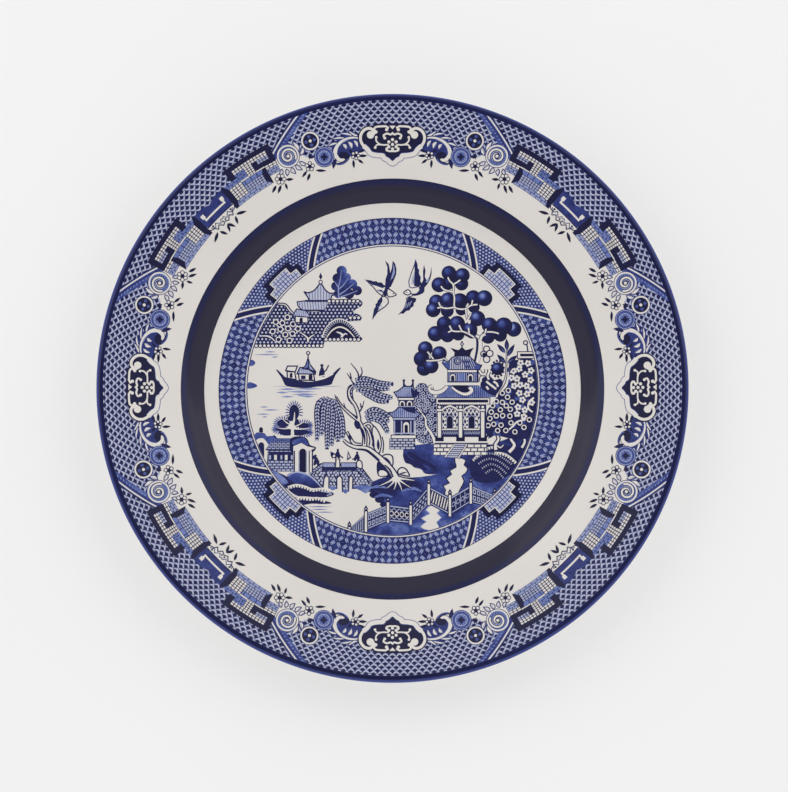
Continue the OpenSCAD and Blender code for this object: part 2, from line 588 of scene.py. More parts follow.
def strap(d):
    """Blue band and white line that part the lattice from the fret."""
    d.fill(polar_path([
        (16.9, 127.2), (20.2, 127.2), (28.4, 115.2), (27.4, 113.2), (25.6, 114)]), MID, 0.5)
    for i in range(14):
        t = i / 13
        a, r = 17.9 + 8.4 * t, 126.6 - 11.6 * t
        d.line([polar(a, r), polar(a + 1.1, r + 0.1)], 0.32, PALE)
    d.line(polar_path([(18.4, 127.2), (27.2, 114.6)], False), 1, DEEP)
    d.line(polar_path([(19.2, 127.2), (27.4, 115.6)], False), 0.6, 0)
    d.line(polar_path([(19.9, 127.2), (27.6, 116.4)], False), 0.5, NAVY)


def cartouche(d):
    """Half of the cloud-shaped panel on the axis, mirrored afterwards."""
    rim = [
        (-0.3, 99.5), (0.5, 100), (1.3, 101.3), (2.1, 102), (2.4, 103.1), (3.6, 103.4), (4.9, 104),
        (5.5, 104.8), (6, 106.4), (6.8, 108), (7.3, 110.4), (7.1, 112.9), (6.3, 114.7),
        (5.4, 115.3), (4.7, 115)]
    top = [(4.2, 114.4), (3.9, 115.5), (3, 115.9), (-0.3, 115.9)]
    silhouette = polar_path(smooth(rim) + top)
    d.fill(silhouette, NAVY)
    d.line(silhouette, 2.3, NAVY, closed=True)
    edge = polar_curve(rim[:10])
    d.line(edge, 2.5, MID)
    d.line(edge, 2, 0)
    d.line(polar_curve(rim[8:] + [(4.15, 113.6), (4.3, 112.4)]), 1.25, 0)
    d.dot(*polar(4.95, 112.4), 1.65, 0, 14)
    d.line(edge, 1.3, 0)
    hook = smooth([(3.7, 113.5), (4.05, 114.7), (3.7, 115.6), (2.9, 115.8)])
    d.line(polar_path(hook + [(1.5, 115.8), (1, 115.2), (1.25, 114.2)], False), 0.9, 0)
    for angle, r, size in (
            (3.7, 113.5, 0.75), (1.3, 114.3, 0.75), (1.75, 110.7, 0.65), (3.7, 111.2, 0.6),
            (4.1, 106.8, 0.6), (1.35, 106.1, 0.65)):
        d.dot(*polar(angle, r), size, 0, 10)
    d.fill(polar_path([(-0.7, 116), (0.7, 116), (0, 114.4)]), 0)
    for path, width in (
            ([(-0.2, 113.2), (0.4, 112.2), (1.2, 112.6), (2, 111.9), (1.8, 110.7)], 0.85),
            ([(0.9, 107.8), (2.3, 107.8), (3.2, 108.4), (3.75, 109.7), (3.75, 111.2)], 0.7),
            ([(2.8, 107.9), (3.7, 107.9), (4.1, 106.8)], 0.65),
            ([(-0.2, 105), (0.8, 105), (1.45, 105.5), (1.35, 106.1)], 0.8)):
        d.line(polar_curve(path), width, 0)
    d.dot(0, 107.9, 1, NAVY, 10)
    for x, y in ((0, 107.9), (0, 110), (0, 105.9), (1.6, 109), (1.6, 106.9)):
        d.dot(x, y, 0.72, 0, 10)


def white_leaf(d, base, tip, width, bend):
    """Leaf left white with a drawn outline and rib; base and tip are angle and radius."""
    (x0, y0), (x1, y1) = polar(*base), polar(*tip)
    d.edged(leaf_outline((x0, y0), (x1, y1), width, bend), 0.42, DEEP, 0)
    d.stroke((x0 * 3 + x1) / 4, (y0 * 3 + y1) / 4, (x0 + x1 * 3) / 4, (y0 + y1 * 3) / 4, 0.16, SOFT)


def dark_leaf(d, base, tip, width, bend=0, tone=NAVY):
    d.fill(leaf_outline(polar(*base), polar(*tip), width, bend), tone)


def blossom(d, angle, r, size, petals, start):
    """Small flower of white petals with a drawn edge and a dark middle."""
    x, y = polar(angle, r)
    for k in range(petals):
        d.ring(*around(x, y, 1.35 * size, start + 360 * k / petals), 0.9 * size, 0.34, DARK, 0, 10)
    d.dot(x, y, 0.75 * size, NAVY, 8)


def acanthus(d):
    """Scrolling leaf that runs from the cartouche to a dark curl."""
    d.fill(polar_path([
        (7.4, 113.4), (9, 114.2), (12, 113.2), (14.2, 110.4), (14.4, 106), (13.6, 104), (11, 104),
        (6.4, 105.8), (6.6, 107.6), (7.6, 110)]), DEEP, 0.3)
    for a0, r0, a1, r1, w, bend in (
            (7.6, 112.4, 9.8, 115.6, 1.5, -0.4), (8.8, 112.9, 11.9, 115, 1.3, 0.3),
            (10.4, 112.3, 13.9, 113.4, 1.3, 0.3), (12.2, 110.9, 15.2, 110.6, 1.3, 0.4),
            (7.7, 110.9, 7, 107.6, 1.4, -0.3), (8.9, 111.2, 8.2, 107.3, 1.7, -0.4),
            (10.2, 111, 9.6, 107.2, 1.9, -0.5), (11.5, 110.4, 10.9, 107.4, 1.8, -0.4)):
        white_leaf(d, (a0, r0), (a1, r1), w, bend)
    stem = polar_curve([
        (7.5, 111.4), (9.2, 112.2), (11.2, 111.6), (12.8, 109.8), (13.7, 107.2), (13.5, 105),
        (12.8, 103.6), (11.8, 103.5)])
    d.line(stem, (1, 1.7, 2.2, 2.2, 1.6), DEEP)
    d.line(stem, (0.5, 1.2, 1.7, 1.7, 1.1), 0)
    d.line(polar_curve([(8.2, 111.6), (10.6, 111.6), (12.5, 109.4), (13.2, 107)]), 0.2, SOFT)
    curl = loop([
        (10.8, 105.9), (10.5, 104.2), (11.2, 102.6), (12.4, 101.7), (13.6, 101.8), (14, 102.6),
        (13.1, 102.5), (12.2, 102.8), (11.6, 103.5), (12.1, 104.3), (12.9, 105), (12.7, 106.3),
        (11.8, 106.8)], 4)
    d.edged(polar_path(curl), 0.25, NAVY, NAVY)
    d.line(polar_curve([(10.9, 103.6), (11.6, 102.4), (12.8, 101.8), (13.8, 102.1)]), 0.6, MID)
    dark_leaf(d, (13.7, 104.8), (15.1, 100.6), 1.9, 0.3, DARK)


def sprays(d):
    """Small flowers with dark leaves in the margin."""
    for base, tip, width in (
            ((8.3, 105.6), (6.2, 106.4), 1.2), ((8.3, 104), (6.1, 103.6), 1.3),
            ((8.6, 102.6), (7.3, 100.4), 1.2), ((9.7, 102.8), (9.9, 98.9), 1.2),
            ((9.4, 105.4), (10.6, 107.6), 1.1), ((19.4, 102.3), (16.8, 100.7), 1.2),
            ((21.4, 103.4), (23.2, 101.5), 1.2), ((20.9, 101.9), (22.3, 99.3), 1.3),
            ((27, 103.6), (25.2, 102.4), 1.3), ((27.5, 102.4), (27.8, 99.4), 1.1),
            ((28.6, 102.6), (30.4, 99.9), 1.3), ((29.7, 103.4), (31.6, 101.4), 1.3),
            ((41.9, 103.4), (39.3, 101.4), 1.4), ((42.3, 103), (43.2, 99.6), 1.3)):
        dark_leaf(d, base, tip, width)
    dark_leaf(d, (45, 103), (44, 99.5), 1.3)
    blossom(d, 9, 104.4, 0.95, 5, 40)
    blossom(d, 20.4, 104.7, 1.05, 5, 90)
    blossom(d, 28.1, 104.9, 1.15, 6, 60)


def coins(d):
    """Blue coin with a star, and the dark roundel beyond it."""
    x, y = polar(16.4, 106.7)
    d.discs(x, y, 24, (4.5, DEEP), (4.15, PALE), (3.8, DEEP), (3.5, MID), (2.75, FAINT), (2.45, MID))
    for k in range(12):
        d.dot(*around(x, y, 2, k * 30), 0.32, PALE, 6)
    d.fill([around(x, y, 0.9 if k % 2 else 1.9, k * 45) for k in range(8)], NAVY)
    x, y = polar(18.4, 115.1)
    d.discs(x, y, 24, (4.3, DEEP), (4, 0), (3.25, NAVY))
    for k in range(4):
        d.dot(*around(x, y, 1.9, k * 90 - 18.4), 0.75, MID, 8)
    d.dot(x, y, 0.7, 0, 10)
    dark_leaf(d, (19, 110), (20, 107.6), 1.2)


def spiral(d):
    """Open scroll of white line among small leaves."""
    for base, tip, width, bend in (
            ((21.8, 112), (22, 117.6), 2.2, 0.5), ((21.5, 110.6), (20.3, 113.8), 1.8, 0.3),
            ((22.3, 108.2), (20.9, 105.9), 1.7, 0.3), ((23.4, 107.6), (22.4, 104.6), 1.8, 0.3),
            ((24.6, 107.3), (24.2, 104.2), 1.8, 0.3), ((25.8, 107.6), (26.3, 104.9), 1.7, -0.3),
            ((26.7, 108.4), (27.9, 106.6), 1.5, -0.3)):
        white_leaf(d, base, tip, width, bend)
    x, y = polar(24.2, 112.4)
    d.discs(x, y, 28, (5.2, DEEP), (4.9, 0), (4.2, SOFT))
    for k in range(24):
        a = k * 15 * DEG
        d.stroke(x + 2.3 * math.cos(a), y + 2.3 * math.sin(a),
                 x + 3.9 * math.cos(a + 0.3), y + 3.9 * math.sin(a + 0.3), 0.22, NAVY)
    d.dot(x, y, 2.7, PALE, 20)
    curve = [around(x, y, 3.6 - 3.1 * k / 25, 200 - k * 22) for k in range(26)]
    d.rope(curve, 1.5, 0.8)
    d.discs(x, y, 10, (1.2, DARK), (0.7, 0))


def bricks(d, a0, a1, r0, r1, rows, size, gap, tone, ground):
    """Courses of light tiles on a ground, in an annular panel."""
    d.fill(sector(a0, a1, r0, r1), ground, 0.2)
    height = (r1 - r0) / rows
    for row in range(rows):
        low = r0 + row * height + gap * 0.6
        high = r0 + (row + 1) * height - gap * 0.4
        a = a0 + gap * 0.4 - (size / 2 if row % 2 else 0)
        while a < a1 - gap * 0.6:
            left = max(a, a0 + gap * 0.4)
            right = min(a + size - gap, a1 - gap * 0.4)
            if right - left > 0.12:
                d.fill(cell(left, right, low, high), tone, 0.2)
            a += size


def tiles(d, a0, a1, r0, r1, columns, rows, tone, ground):
    """Squares in straight rows and columns on a ground."""
    gap = 0.14
    d.fill(sector(a0, a1, r0, r1), ground, 0.2)
    for i in range(columns):
        left = a0 + (a1 - a0) * i / columns + gap
        right = a0 + (a1 - a0) * (i + 1) / columns - gap * 0.4
        for k in range(rows):
            low = r0 + (r1 - r0) * k / rows + gap
            high = r0 + (r1 - r0) * (k + 1) / rows - gap
            d.fill(cell(left, right, low, high), tone, 0.2)


def fret(d):
    """Stepped key of dark frames round small tiled panels."""
    d.fill(polar_path([
        (27, 113.1), (27, 121.1), (38.1, 121.1), (38.1, 115.4), (33.8, 115), (32.2, 113.1)]), NAVY)
    tiles(d, 28.2, 36.7, 116.9, 119, 11, 2, 0, DARK)
    tiles(d, 28.2, 31, 115.1, 117, 4, 2, FAINT, DARK)
    tiles(d, 32.2, 34.2, 112.8, 117, 3, 4, 0, DARK)
    bricks(d, 34.2, 36.7, 115, 117, 2, 1.2, 0.2, SOFT, DARK)
    bricks(d, 34.2, 40.1, 113.2, 115.4, 2, 1.4, 0.2, SOFT, DARK)
    tiles(d, 27.1, 30, 111.2, 113.1, 3, 2, 0, DARK)
    bricks(d, 27.1, 30.4, 108.2, 111.2, 3, 1.3, 0.2, PALE, DARK)
    d.fill(polar_path([(29.9, 112.6), (36.2, 112.6), (36.2, 110.6), (31.3, 110.6)]), DEEP)
    bricks(d, 30.8, 36.2, 110.6, 112.5, 1, 1.6, 0.2, SOFT, DARK)
    tiles(d, 31.2, 36.2, 107.3, 110.6, 7, 3, FAINT, DARK)
    tiles(d, 36.2, 39.5, 107.3, 113.1, 4, 5, 0, DARK)
    bricks(d, 30.4, 40.1, 104.9, 107.3, 2, 1.6, 0.2, PALE, DARK)
    d.fill(polar_path([
        (29.9, 112.7), (30.8, 112.4), (31.3, 110.6), (31.3, 107.2), (30.1, 104.9),
        (29.9, 104.9)]), NAVY)
    d.fill(polar_path([
        (39.4, 107.2), (39.4, 113.2), (40.2, 115.4), (40.9, 115.4), (40.9, 104.9),
        (40.2, 104.9)]), NAVY)
    d.fill(polar_path([
        (40.9, 108.2), (41.2, 107.6), (45.2, 107.6), (45.2, 113.9), (43.2, 115.5),
        (40.9, 115.5)]), DEEP, 0.4)
    d.line(polar_path([(42.1, 113.3), (42.1, 110.5), (45.2, 110.5)], False), 0.85, 0)
    d.fill(sector(41.6, 42.5, 111.6, 113.4), 0)


def ribbon_flower(d):
    """White zigzag flower under the middle of the fret."""
    outline = [
        (40.6, 107.6), (41, 106), (42, 105.4), (42.5, 104), (43.3, 105.2), (44.1, 103.6),
        (45.2, 104.6), (45.2, 107.6)]
    d.edged(polar_path(outline), 0.45, DARK, 0)
    zigzag = [(41.4, 106.6), (42.4, 105.4), (43, 106.8), (44, 105), (44.6, 106.4), (45.2, 105.6)]
    d.line(polar_path(zigzag, False), 0.35, DEEP)
    d.dot(*polar(42.1, 106.6), 0.5, NAVY, 6)
    d.dot(*polar(44.6, 105), 0.45, NAVY, 6)


def draw_outer_border():
    d = Drawing(sector(0, 45, BORDER_IN, BORDER_OUT))
    for motif in (lattice, strap, spiral, acanthus, sprays, coins, fret, ribbon_flower, cartouche):
        motif(d)
    return d.triangles()


# ---------------------------------------------------------------- inner border

INNER_IN = 65
INNER_OUT = 76.8
INNER_CELL = 2.25


def strap_lean(r):
    """How many degrees the strap has slanted by at radius r."""
    return 9.4 * (r - INNER_IN) / (INNER_OUT - INNER_IN)


def leaf_diaper(d):
    """Crossed pairs of pale leaves on a mid-blue ground."""
    d.fill(polar_path([(0, INNER_IN), (34.2, INNER_IN), (25.2, INNER_OUT), (0, INNER_OUT)]),
           DEEP, 0.5)
    rows = 4
    step = (INNER_OUT - INNER_IN) / rows
    for row in range(rows):
        r = INNER_IN + (row + 0.5) * step
        for column in range(16):
            angle = column * INNER_CELL
            if angle > 34.6 - strap_lean(r) - 1.6:
                continue
            place = at_polar(angle + INNER_CELL / 2, r)
            lean = 1 if (row + column) % 2 else -1
            for side in (-0.36, 0.36):
                base = place((-0.82 * lean + side * 0.8, -1.08 - side * 0.6 * lean))
                tip = place((0.82 * lean + side * 0.8, 1.08 - side * 0.6 * lean))
                d.leaf(base, tip, 0.66, 0.22, mottle=0.3)
            d.place = at_polar(angle, r + step / 2)
            d.fill([(0, 0.75), (0.5, 0), (0, -0.75), (-0.5, 0)], NAVY)
            d.fill([(0, 0.3), (0.2, 0), (0, -0.3), (-0.2, 0)], SOFT)
            d.place = None


def scale_diaper(d):
    """Small pale scales on blue."""
    d.fill(polar_path([(34.2, INNER_IN), (45, INNER_IN), (45, INNER_OUT), (25.2, INNER_OUT)]),
           DEEP, 0.4)
    rows = 9
    step = (INNER_OUT - INNER_IN) / rows
    pitch = 1.25
    for row in range(rows):
        r = INNER_IN + (row + 0.5) * step
        start = 0 if row % 2 else 0.5
        for column in range(20, 37):
            angle = (column + start) * pitch
            if angle < 34.8 - strap_lean(r) + 0.8:
                continue
            d.place = at_polar(angle, r)
            d.fill([(0, 0.45), (0.52, 0.1), (0.34, -0.42), (-0.34, -0.42), (-0.52, 0.1)], FAINT, 0.2)
    d.place = None


def inner_strap(d):
    """Dark slanting strap between two white lines."""
    path = polar_path([(24.4, 78), (34.6, 64)], False)
    for width, tone in ((4.1, MID), (3.5, 0), (2, DARK)):
        d.line(path, width, tone)


def corner_key(d):
    """Half of the stepped key on the diagonal, mirrored by the next eighth."""
    d.fill(polar_path([
        (36.4, INNER_IN), (36.4, 70.6), (38.9, 70.6), (38.9, 73.7), (45, 73.7),
        (45, INNER_IN)]), NAVY)
    for inset, tone in ((0, 0), (0.42, 0.64)):
        d.fill(polar_path([
            (38.2 + inset, INNER_IN), (38.2 + inset, 68.9 - inset), (40.9 + inset, 68.9 - inset),
            (40.9 + inset, 72.1 - inset), (45, 72.1 - inset), (45, INNER_IN)]), tone)
    for columns, a0, r0, rise, height in ((5, 38.7, 65.4, 1.65, 1.3), (3, 41.35, 68.7, 1.6, 1.25)):
        for i in range(columns):
            for k in range(2):
                left, low = a0 + i * 1.28, r0 + k * rise
                d.fill(cell(left, left + 0.98, low, low + height), 0.07, 0.3)


def draw_inner_border():
    d = Drawing(sector(0, 45, INNER_IN, INNER_OUT))
    for r in (FLOOR_R, 73.2, 74.4, 75.6):
        d.cuts.append(polar_path([(-1, r), (46, r)], False))
    leaf_diaper(d)
    scale_diaper(d)
    inner_strap(d)
    corner_key(d)
    for radius in (INNER_IN, INNER_OUT):
        d.line(polar_path([(-1, radius), (46, radius)], False), 0.5, DARK)
    return d.triangles()


# ---------------------------------------------------------------- centre scene
# A landscape of the kind long drawn on blue-and-white china, in millimetres from the
# middle of the plate, +x right and +y up. Each motif is a piece of its own.


def arch(x, y, width, height, sides=6):
    """Round-headed opening, standing on y, centred on x."""
    half = width / 2
    top = circle(x, y + height - half, half, sides, 0, 180)
    return [(x - half, y), (x + half, y)] + top


def hatch(d, x0, x1, y0, y1, step, width, tone, slant=0):
    """Upright or slanted lines, kept inside the current mask."""
    x = x0
    while x <= x1:
        d.stroke(x, y0, x + slant, y1, width, tone)
        x += step


def wall(d, x0, y0, x1, y1, courses, length, gap, brick=0):
    """Courses of light bricks on a dark ground."""
    d.box(x0, y0, x1, y1, DARK, 0.1)
    height = (y1 - y0) / courses
    for row in range(courses):
        low, high = y0 + row * height + gap / 2, y0 + (row + 1) * height - gap / 2
        x = x0 - (length / 2 if row % 2 else 0)
        while x < x1:
            left, right = max(x, x0) + gap / 2, min(x + length, x1) - gap / 2
            if right - left > 0.3:
                d.box(left, low, right, high, brick)
            x += length


def water(d, lines, width, tone):
    """Short level strokes of water: each is x from, x to, y."""
    for x0, x1, y in lines:
        mid = (x0 + x1) / 2
        d.line([(x0, y), (mid, y + 0.05), (x1, y)], (0.05, width, width, 0.05), tone, mottle=0.2)


def blob(x, y, rx, ry, sides=14):
    """Points on an ellipse."""
    turns = [2 * math.pi * i / sides for i in range(sides)]
    return [(x + rx * math.cos(a), y + ry * math.sin(a)) for a in turns]


def left_bird(d):
    """The bird on the left."""
    wing = [
        (-11.8, 49.1), (-9.4, 48.7), (-8.9, 48.3), (-7.2, 48.4), (-6.6, 47.8), (-4.9, 47.8),
        (-4.2, 46.9), (-3, 46.2), (-3.4, 44.4), (-4.6, 42), (-6.7, 43.7), (-8.5, 45.9)]
    d.edged(wing, 0.46, DARK, 0)
    d.fill(wing[:8] + [(-4.4, 45.5), (-7.4, 46.6), (-9, 46.9)], DARK, 0.3)
    for k in range(3):
        d.stroke(-6.8 + k, 44.6 - 0.5 * k, -4.6 + 0.4 * k, 44.5 - 0.3 * k, 0.41, DEEP)
    wing = [
        (-4.6, 41.8), (-5.9, 40.3), (-6.4, 39.6), (-6.5, 38.9), (-7.3, 38.2), (-7.2, 37.2),
        (-8, 36), (-8.8, 31.8), (-6.7, 34.9), (-3.2, 37.3), (-1.8, 38.9), (-2, 40.8), (-3.2, 41.8)]
    d.edged(wing, 0.46, DARK, 0)
    d.fill(wing[:9] + [(-5.6, 37.6), (-4.4, 39.8)], DARK, 0.3)
    d.stroke(-5.6, 38.8, -4.9, 36.9, 0.25, SOFT)
    d.stroke(-6.5, 37.6, -5.9, 35.8, 0.25, SOFT)
    body = [
        (-3.3, 57.7), (-1.7, 56.2), (-1.2, 53.8), (-1, 52.2), (-0.3, 54.5), (0.1, 57.7),
        (1.2, 56.3), (1.8, 53.8), (1.6, 51.6), (0.5, 48.8), (-0.7, 46.2), (-2.6, 44.8),
        (-3.3, 46.2), (-3.1, 49.4), (-2.3, 51.8), (-2.3, 55)]
    d.fill(body, DARK, 0.2)
    d.fill([
        (0.3, 56.4), (0.9, 54.8), (1.1, 52.4), (0.2, 50.2), (-0.9, 48.8), (-0.3, 51.2),
        (0.3, 53.6)], PALE, 0.3)
    d.fill([(-2.8, 46.2), (-1.2, 45.4), (-2, 42.2), (-3.9, 41.9), (-4.1, 43.6)], DARK, 0.2)
    d.edged(loop([
        (-2.2, 45.2), (-0.4, 44.4), (1.1, 43.2), (1.6, 42.5), (0.4, 41.9), (-1.6, 41.6),
        (-2.4, 42.8)], 2), 0.48, DARK, 0)
    d.dot(0.3, 43, 0.28, NAVY, 6)


def right_bird(d):
    """The bird on the right."""
    wing = [
        (10.2, 58), (10.8, 56.4), (11, 54.3), (11.6, 53.6), (11.5, 51.9), (12.3, 50.4),
        (12.1, 48.6), (12.9, 47.4), (11.6, 46.2), (8.9, 45.6), (7.5, 46), (7.2, 48.6),
        (8.6, 52.9), (9.6, 55.6)]
    d.edged(wing, 0.41, DEEP, 0)
    d.fill(wing[:9] + [(9.6, 46.4), (9.3, 48.6), (9.8, 52), (9.7, 55.6)], DARK, 0.3)
    for k in range(3):
        d.stroke(8.6 + 0.5 * k, 47.2, 8.7 + 0.5 * k, 50.5 + k, 0.22, SOFT)
    wing = [
        (7.3, 41.5), (9, 41.3), (10.5, 40.9), (10.3, 39.6), (9.4, 38.8), (9.3, 37.4), (8.2, 36.8),
        (7.5, 35.6), (6, 35.3), (4.8, 34), (3.9, 34.3), (2.3, 33.4), (4.6, 35.9),
        (5.3, 37.4), (6.2, 40.2)]
    d.fill(wing, DARK, 0.3)
    for x, y in ((6.3, 38.8), (7.4, 39.2), (8.5, 39.8)):
        d.stroke(x, y, x - 1.2, y - 2.4, 0.3, FAINT)
    d.line(smooth([(6, 40.4), (6.8, 41.4), (8.4, 41.9), (9, 42.4)]), 0.46, DARK)
    tail = [
        (13.9, 55.9), (14.6, 53.4), (14.3, 50.6), (15.2, 48.8), (16.3, 50.4), (16.8, 52.4),
        (17.2, 55.3), (17.3, 52.2), (16.7, 49.4), (15.4, 47.2), (14.2, 45.8), (14.1, 44),
        (13.4, 43.2), (11.4, 42.3), (9.4, 42), (8.2, 42.9), (8.6, 44), (10.6, 44.6), (12.3, 46.4),
        (13.6, 49.2), (13.5, 53)]
    d.fill(tail, DARK, 0.2)
    d.fill([(14.6, 48.4), (16, 50.2), (16.4, 49.4), (15.2, 47.8)], PALE)
    d.fill(loop([
        (7.6, 44.2), (9.4, 45.2), (11.4, 45.6), (11.9, 44.8), (10.8, 43.4), (9, 43)], 2), 0)
    d.edged(loop([
        (4.9, 43.4), (5.9, 44.4), (6.9, 44.8), (7.9, 44), (7.9, 42.9), (6.4, 42.4)],
        2), 0.48, DARK, 0)
    d.dot(6.2, 43.7, 0.26, NAVY, 6)


def birds(d):
    """Two birds that fly towards each other."""
    d.piece = "birds_print"
    left_bird(d)
    right_bird(d)


def ball(d, x, y, r, bright):
    """Round clump of leaves: dark, with a soft light spot at its upper left."""
    bright *= 1.15
    lx, ly = x - 0.25 * r, y + 0.3 * r

    def tone(px, py):
        near = max(0, 1 - math.hypot(px - lx, py - ly) / (0.78 * r))
        return 0.97 - bright * near * near * (3 - 2 * near)
    d.fill(circle(x, y, r, 20), NAVY)
    for share in (0.93, 0.78, 0.6, 0.42, 0.24):
        cx, cy = x + (lx - x) * (1 - share), y + (ly - y) * (1 - share)
        d.fill(circle(cx, cy, r * share, 16), tone, 0.25)


def tree_clumps(d):
    """Round clumps of leaves, the darker ones behind."""
    behind = (
        (24.6, 47.6, 2.9, 0.3), (30.6, 47.4, 3, 0.35), (28.5, 50, 2.4, 0), (30.4, 35.8, 2.5, 0),
        (36, 37, 2.6, 0), (29, 25, 2.9, 0.1), (35, 25.4, 2.4, 0), (47.6, 24.6, 3, 0.1),
        (45, 26.8, 2.6, 0), (13.9, 9.6, 3.2, 0.3), (38.2, 40.4, 2.4, 0), (26.4, 25.4, 2.5, 0))
    front = (
        (25, 52.2, 3.3, 0.35), (30.9, 51.2, 3.3, 0.5), (20.6, 47, 3.4, 0.45),
        (19.4, 39.4, 3.3, 0.45), (24.5, 40.2, 3.4, 0.5), (29.8, 39.8, 3.5, 0.35),
        (35.7, 41.2, 3.4, 0.35), (40.6, 41, 3.6, 0.55), (18, 35.8, 3.3, 0.55),
        (24.2, 35.4, 2.9, 0.15), (22.9, 29.6, 3.4, 0.4), (28.6, 29.7, 3.5, 0.45),
        (34.2, 27, 3.4, 0.45), (37.5, 32, 3.5, 0.6), (19, 25.2, 3.5, 0.5), (24.3, 24.4, 3.1, 0.1),
        (42.9, 29, 3.5, 0.5), (53.6, 27.2, 3.4, 0.8), (49.2, 28.6, 3.9, 0.45),
        (42.2, 23.8, 3.1, 0.2), (14.5, 18.6, 3.3, 0.5), (20.7, 16.4, 3.3, 0.5),
        (12.8, 14, 3.5, 0.3), (17, 10.9, 3.4, 0.5))
    for clumps in (behind, front):
        for x, y, r, bright in clumps:
            ball(d, x, y, r, bright)


def tree_boughs(d):
    """White boughs among the clumps, the trunk and the buds beside it."""
    for path in (
            ((24.5, 50.4), (25.2, 48.8), (26.8, 47.1), (27, 44.6), (26.4, 43.7)),
            ((30, 49.2), (28.4, 48), (26.9, 47.2)),
            ((21.4, 46.4), (22.6, 45), (24.8, 44.2), (26.8, 44)),
            ((26.8, 43.8), (27.4, 41), (27.4, 37.2), (29.6, 36.2), (32.4, 36.3), (34.6, 37.8),
            (37.6, 38.2)), ((35.4, 40.2), (35, 38)),
            ((27.4, 37), (24.4, 36.5), (21.6, 37), (20.4, 39.2)), ((21.4, 37), (19.8, 36.6)),
            ((32.4, 36.2), (32.7, 33.4), (33.2, 31.2)), ((34.6, 34), (33.3, 31.4)),
            ((25.2, 28.8), (26.4, 26.6), (28.4, 26.2), (31, 26.2), (33.8, 25), (36.4, 23.4)),
            ((29.4, 29), (30.6, 26.4)), ((33.6, 27.8), (33.9, 25.2)), ((26.2, 26.6), (24.6, 25.8)),
            ((39.6, 23.6), (41, 25.8), (44.6, 25.9), (47, 25.2)), ((41, 25.8), (41.4, 27.4)),
            ((15.4, 17.2), (18, 14), (17.6, 13.2), (15, 13.2)),
            ((17.8, 13.2), (20.6, 13.5), (22.6, 14))):
        curve = smooth(path, 3)
        d.rope(curve, 1.15, 0.66)
    d.fill([(32.9, 31), (34.6, 31.4), (34.4, 29.6), (33.6, 29.6)], 0)
    left = smooth([(22.4, 14.4), (23.4, 13.8), (24.8, 12.6), (26, 13.4)])
    d.rope(left, 1, 0.5)
    trunk = smooth([
        (36.4, 24.4), (38, 23.2), (38.4, 20.6), (38.2, 17.2), (37.6, 14.4), (36.8, 11.6)])
    d.line(trunk, (1.6, 2.7, 2.9, 2.9, 2.4), DARK)
    d.line([(x + 0.45, y) for x, y in trunk], (0.9, 1.5, 1.7, 1.8, 1.4), 0)
    fork = smooth([(41, 25), (39.6, 24.2), (38.8, 22.4)])
    d.rope(fork, 1.7, 1.1)
    for x, y, r in ((41.6, 18.4, 1.6), (43, 16.4, 1.7), (41.6, 13.8, 1.7), (40.2, 16.2, 1.5)):
        d.ring(x, y, r, 0.5, DARK, 0, 12)
    d.dot(40.5, 15.9, 0.9, NAVY)


def big_tree(d):
    """Tree of round clumps behind the pavilion."""
    d.piece = "big_tree_print"
    tree_clumps(d)
    tree_boughs(d)


def pavilion_top(d):
    """Finial, striped upper roof and upper storey."""
    d.fill([
        (25.6, 19), (27.8, 18.2), (29.2, 17.9), (30.7, 19.4), (32.2, 17.9), (33.6, 18.2), (36, 19),
        (34.6, 16.8), (34.2, 15), (27.2, 15), (27.4, 16.8)], NAVY, 0.2)
    d.stroke(30.7, 19, 30.7, 22, 0.56, DARK)
    d.fill([(30.7, 21.9), (31.6, 20.6), (30.7, 19.4), (29.8, 20.6)], DARK)
    d.dot(30.7, 20.6, 0.4, 0, 6)
    roof = smooth([
        (26, 14.4), (28, 15.2), (33.4, 15.2), (35.4, 13.8), (37.4, 11.8), (39.4, 11.2)], 3)
    roof += [(38.4, 9.2), (24.6, 9.2), (23.4, 10.4), (22, 12.2), (22.6, 13.4), (24.6, 12.6)]
    d.mask(roof, 0.1)
    hatch(d, 25.2, 33.8, 9.2, 15.4, 0.95, 0.36, DARK)
    hatch(d, 33, 39, 9, 14, 0.95, 0.58, DEEP, -2.2)
    d.fill([(22, 12.6), (24.9, 12.4), (25.4, 9.2), (22, 9.2)], MID, 0.3)
    d.fill([(36, 9.2), (39.6, 9.2), (39.6, 11.6), (37, 12.4)], MID, 0.3)
    for r, tone in ((1.75, DARK), (1.25, PALE), (0.85, DARK), (0.4, 0)):
        d.dot(28.8, 13, r, tone, 14)
    d.unmask()
    d.line(roof, 0.51, DARK, closed=True)
    d.box(24.2, 2.2, 38, 9.2, DARK)
    d.box(24.4, 8.1, 37.2, 9, 0)
    d.box(24.6, 4, 37.2, 7.8, DEEP, 0.2)
    hatch(d, 25, 37, 4, 7.8, 0.85, 0.3, FAINT)
    for x in (26.6, 34.4):
        d.arch(x, 4.2, 2.9, 3.5, DARK)
        d.arch(x, 4.2, 2.3, 3.1, 0)
        d.arch(x, 4.2, 1.5, 2.4, NAVY)
    d.box(29.4, 4.2, 31.4, 7.6, SOFT)
    d.box(24, 2.3, 38, 3.5, 0)


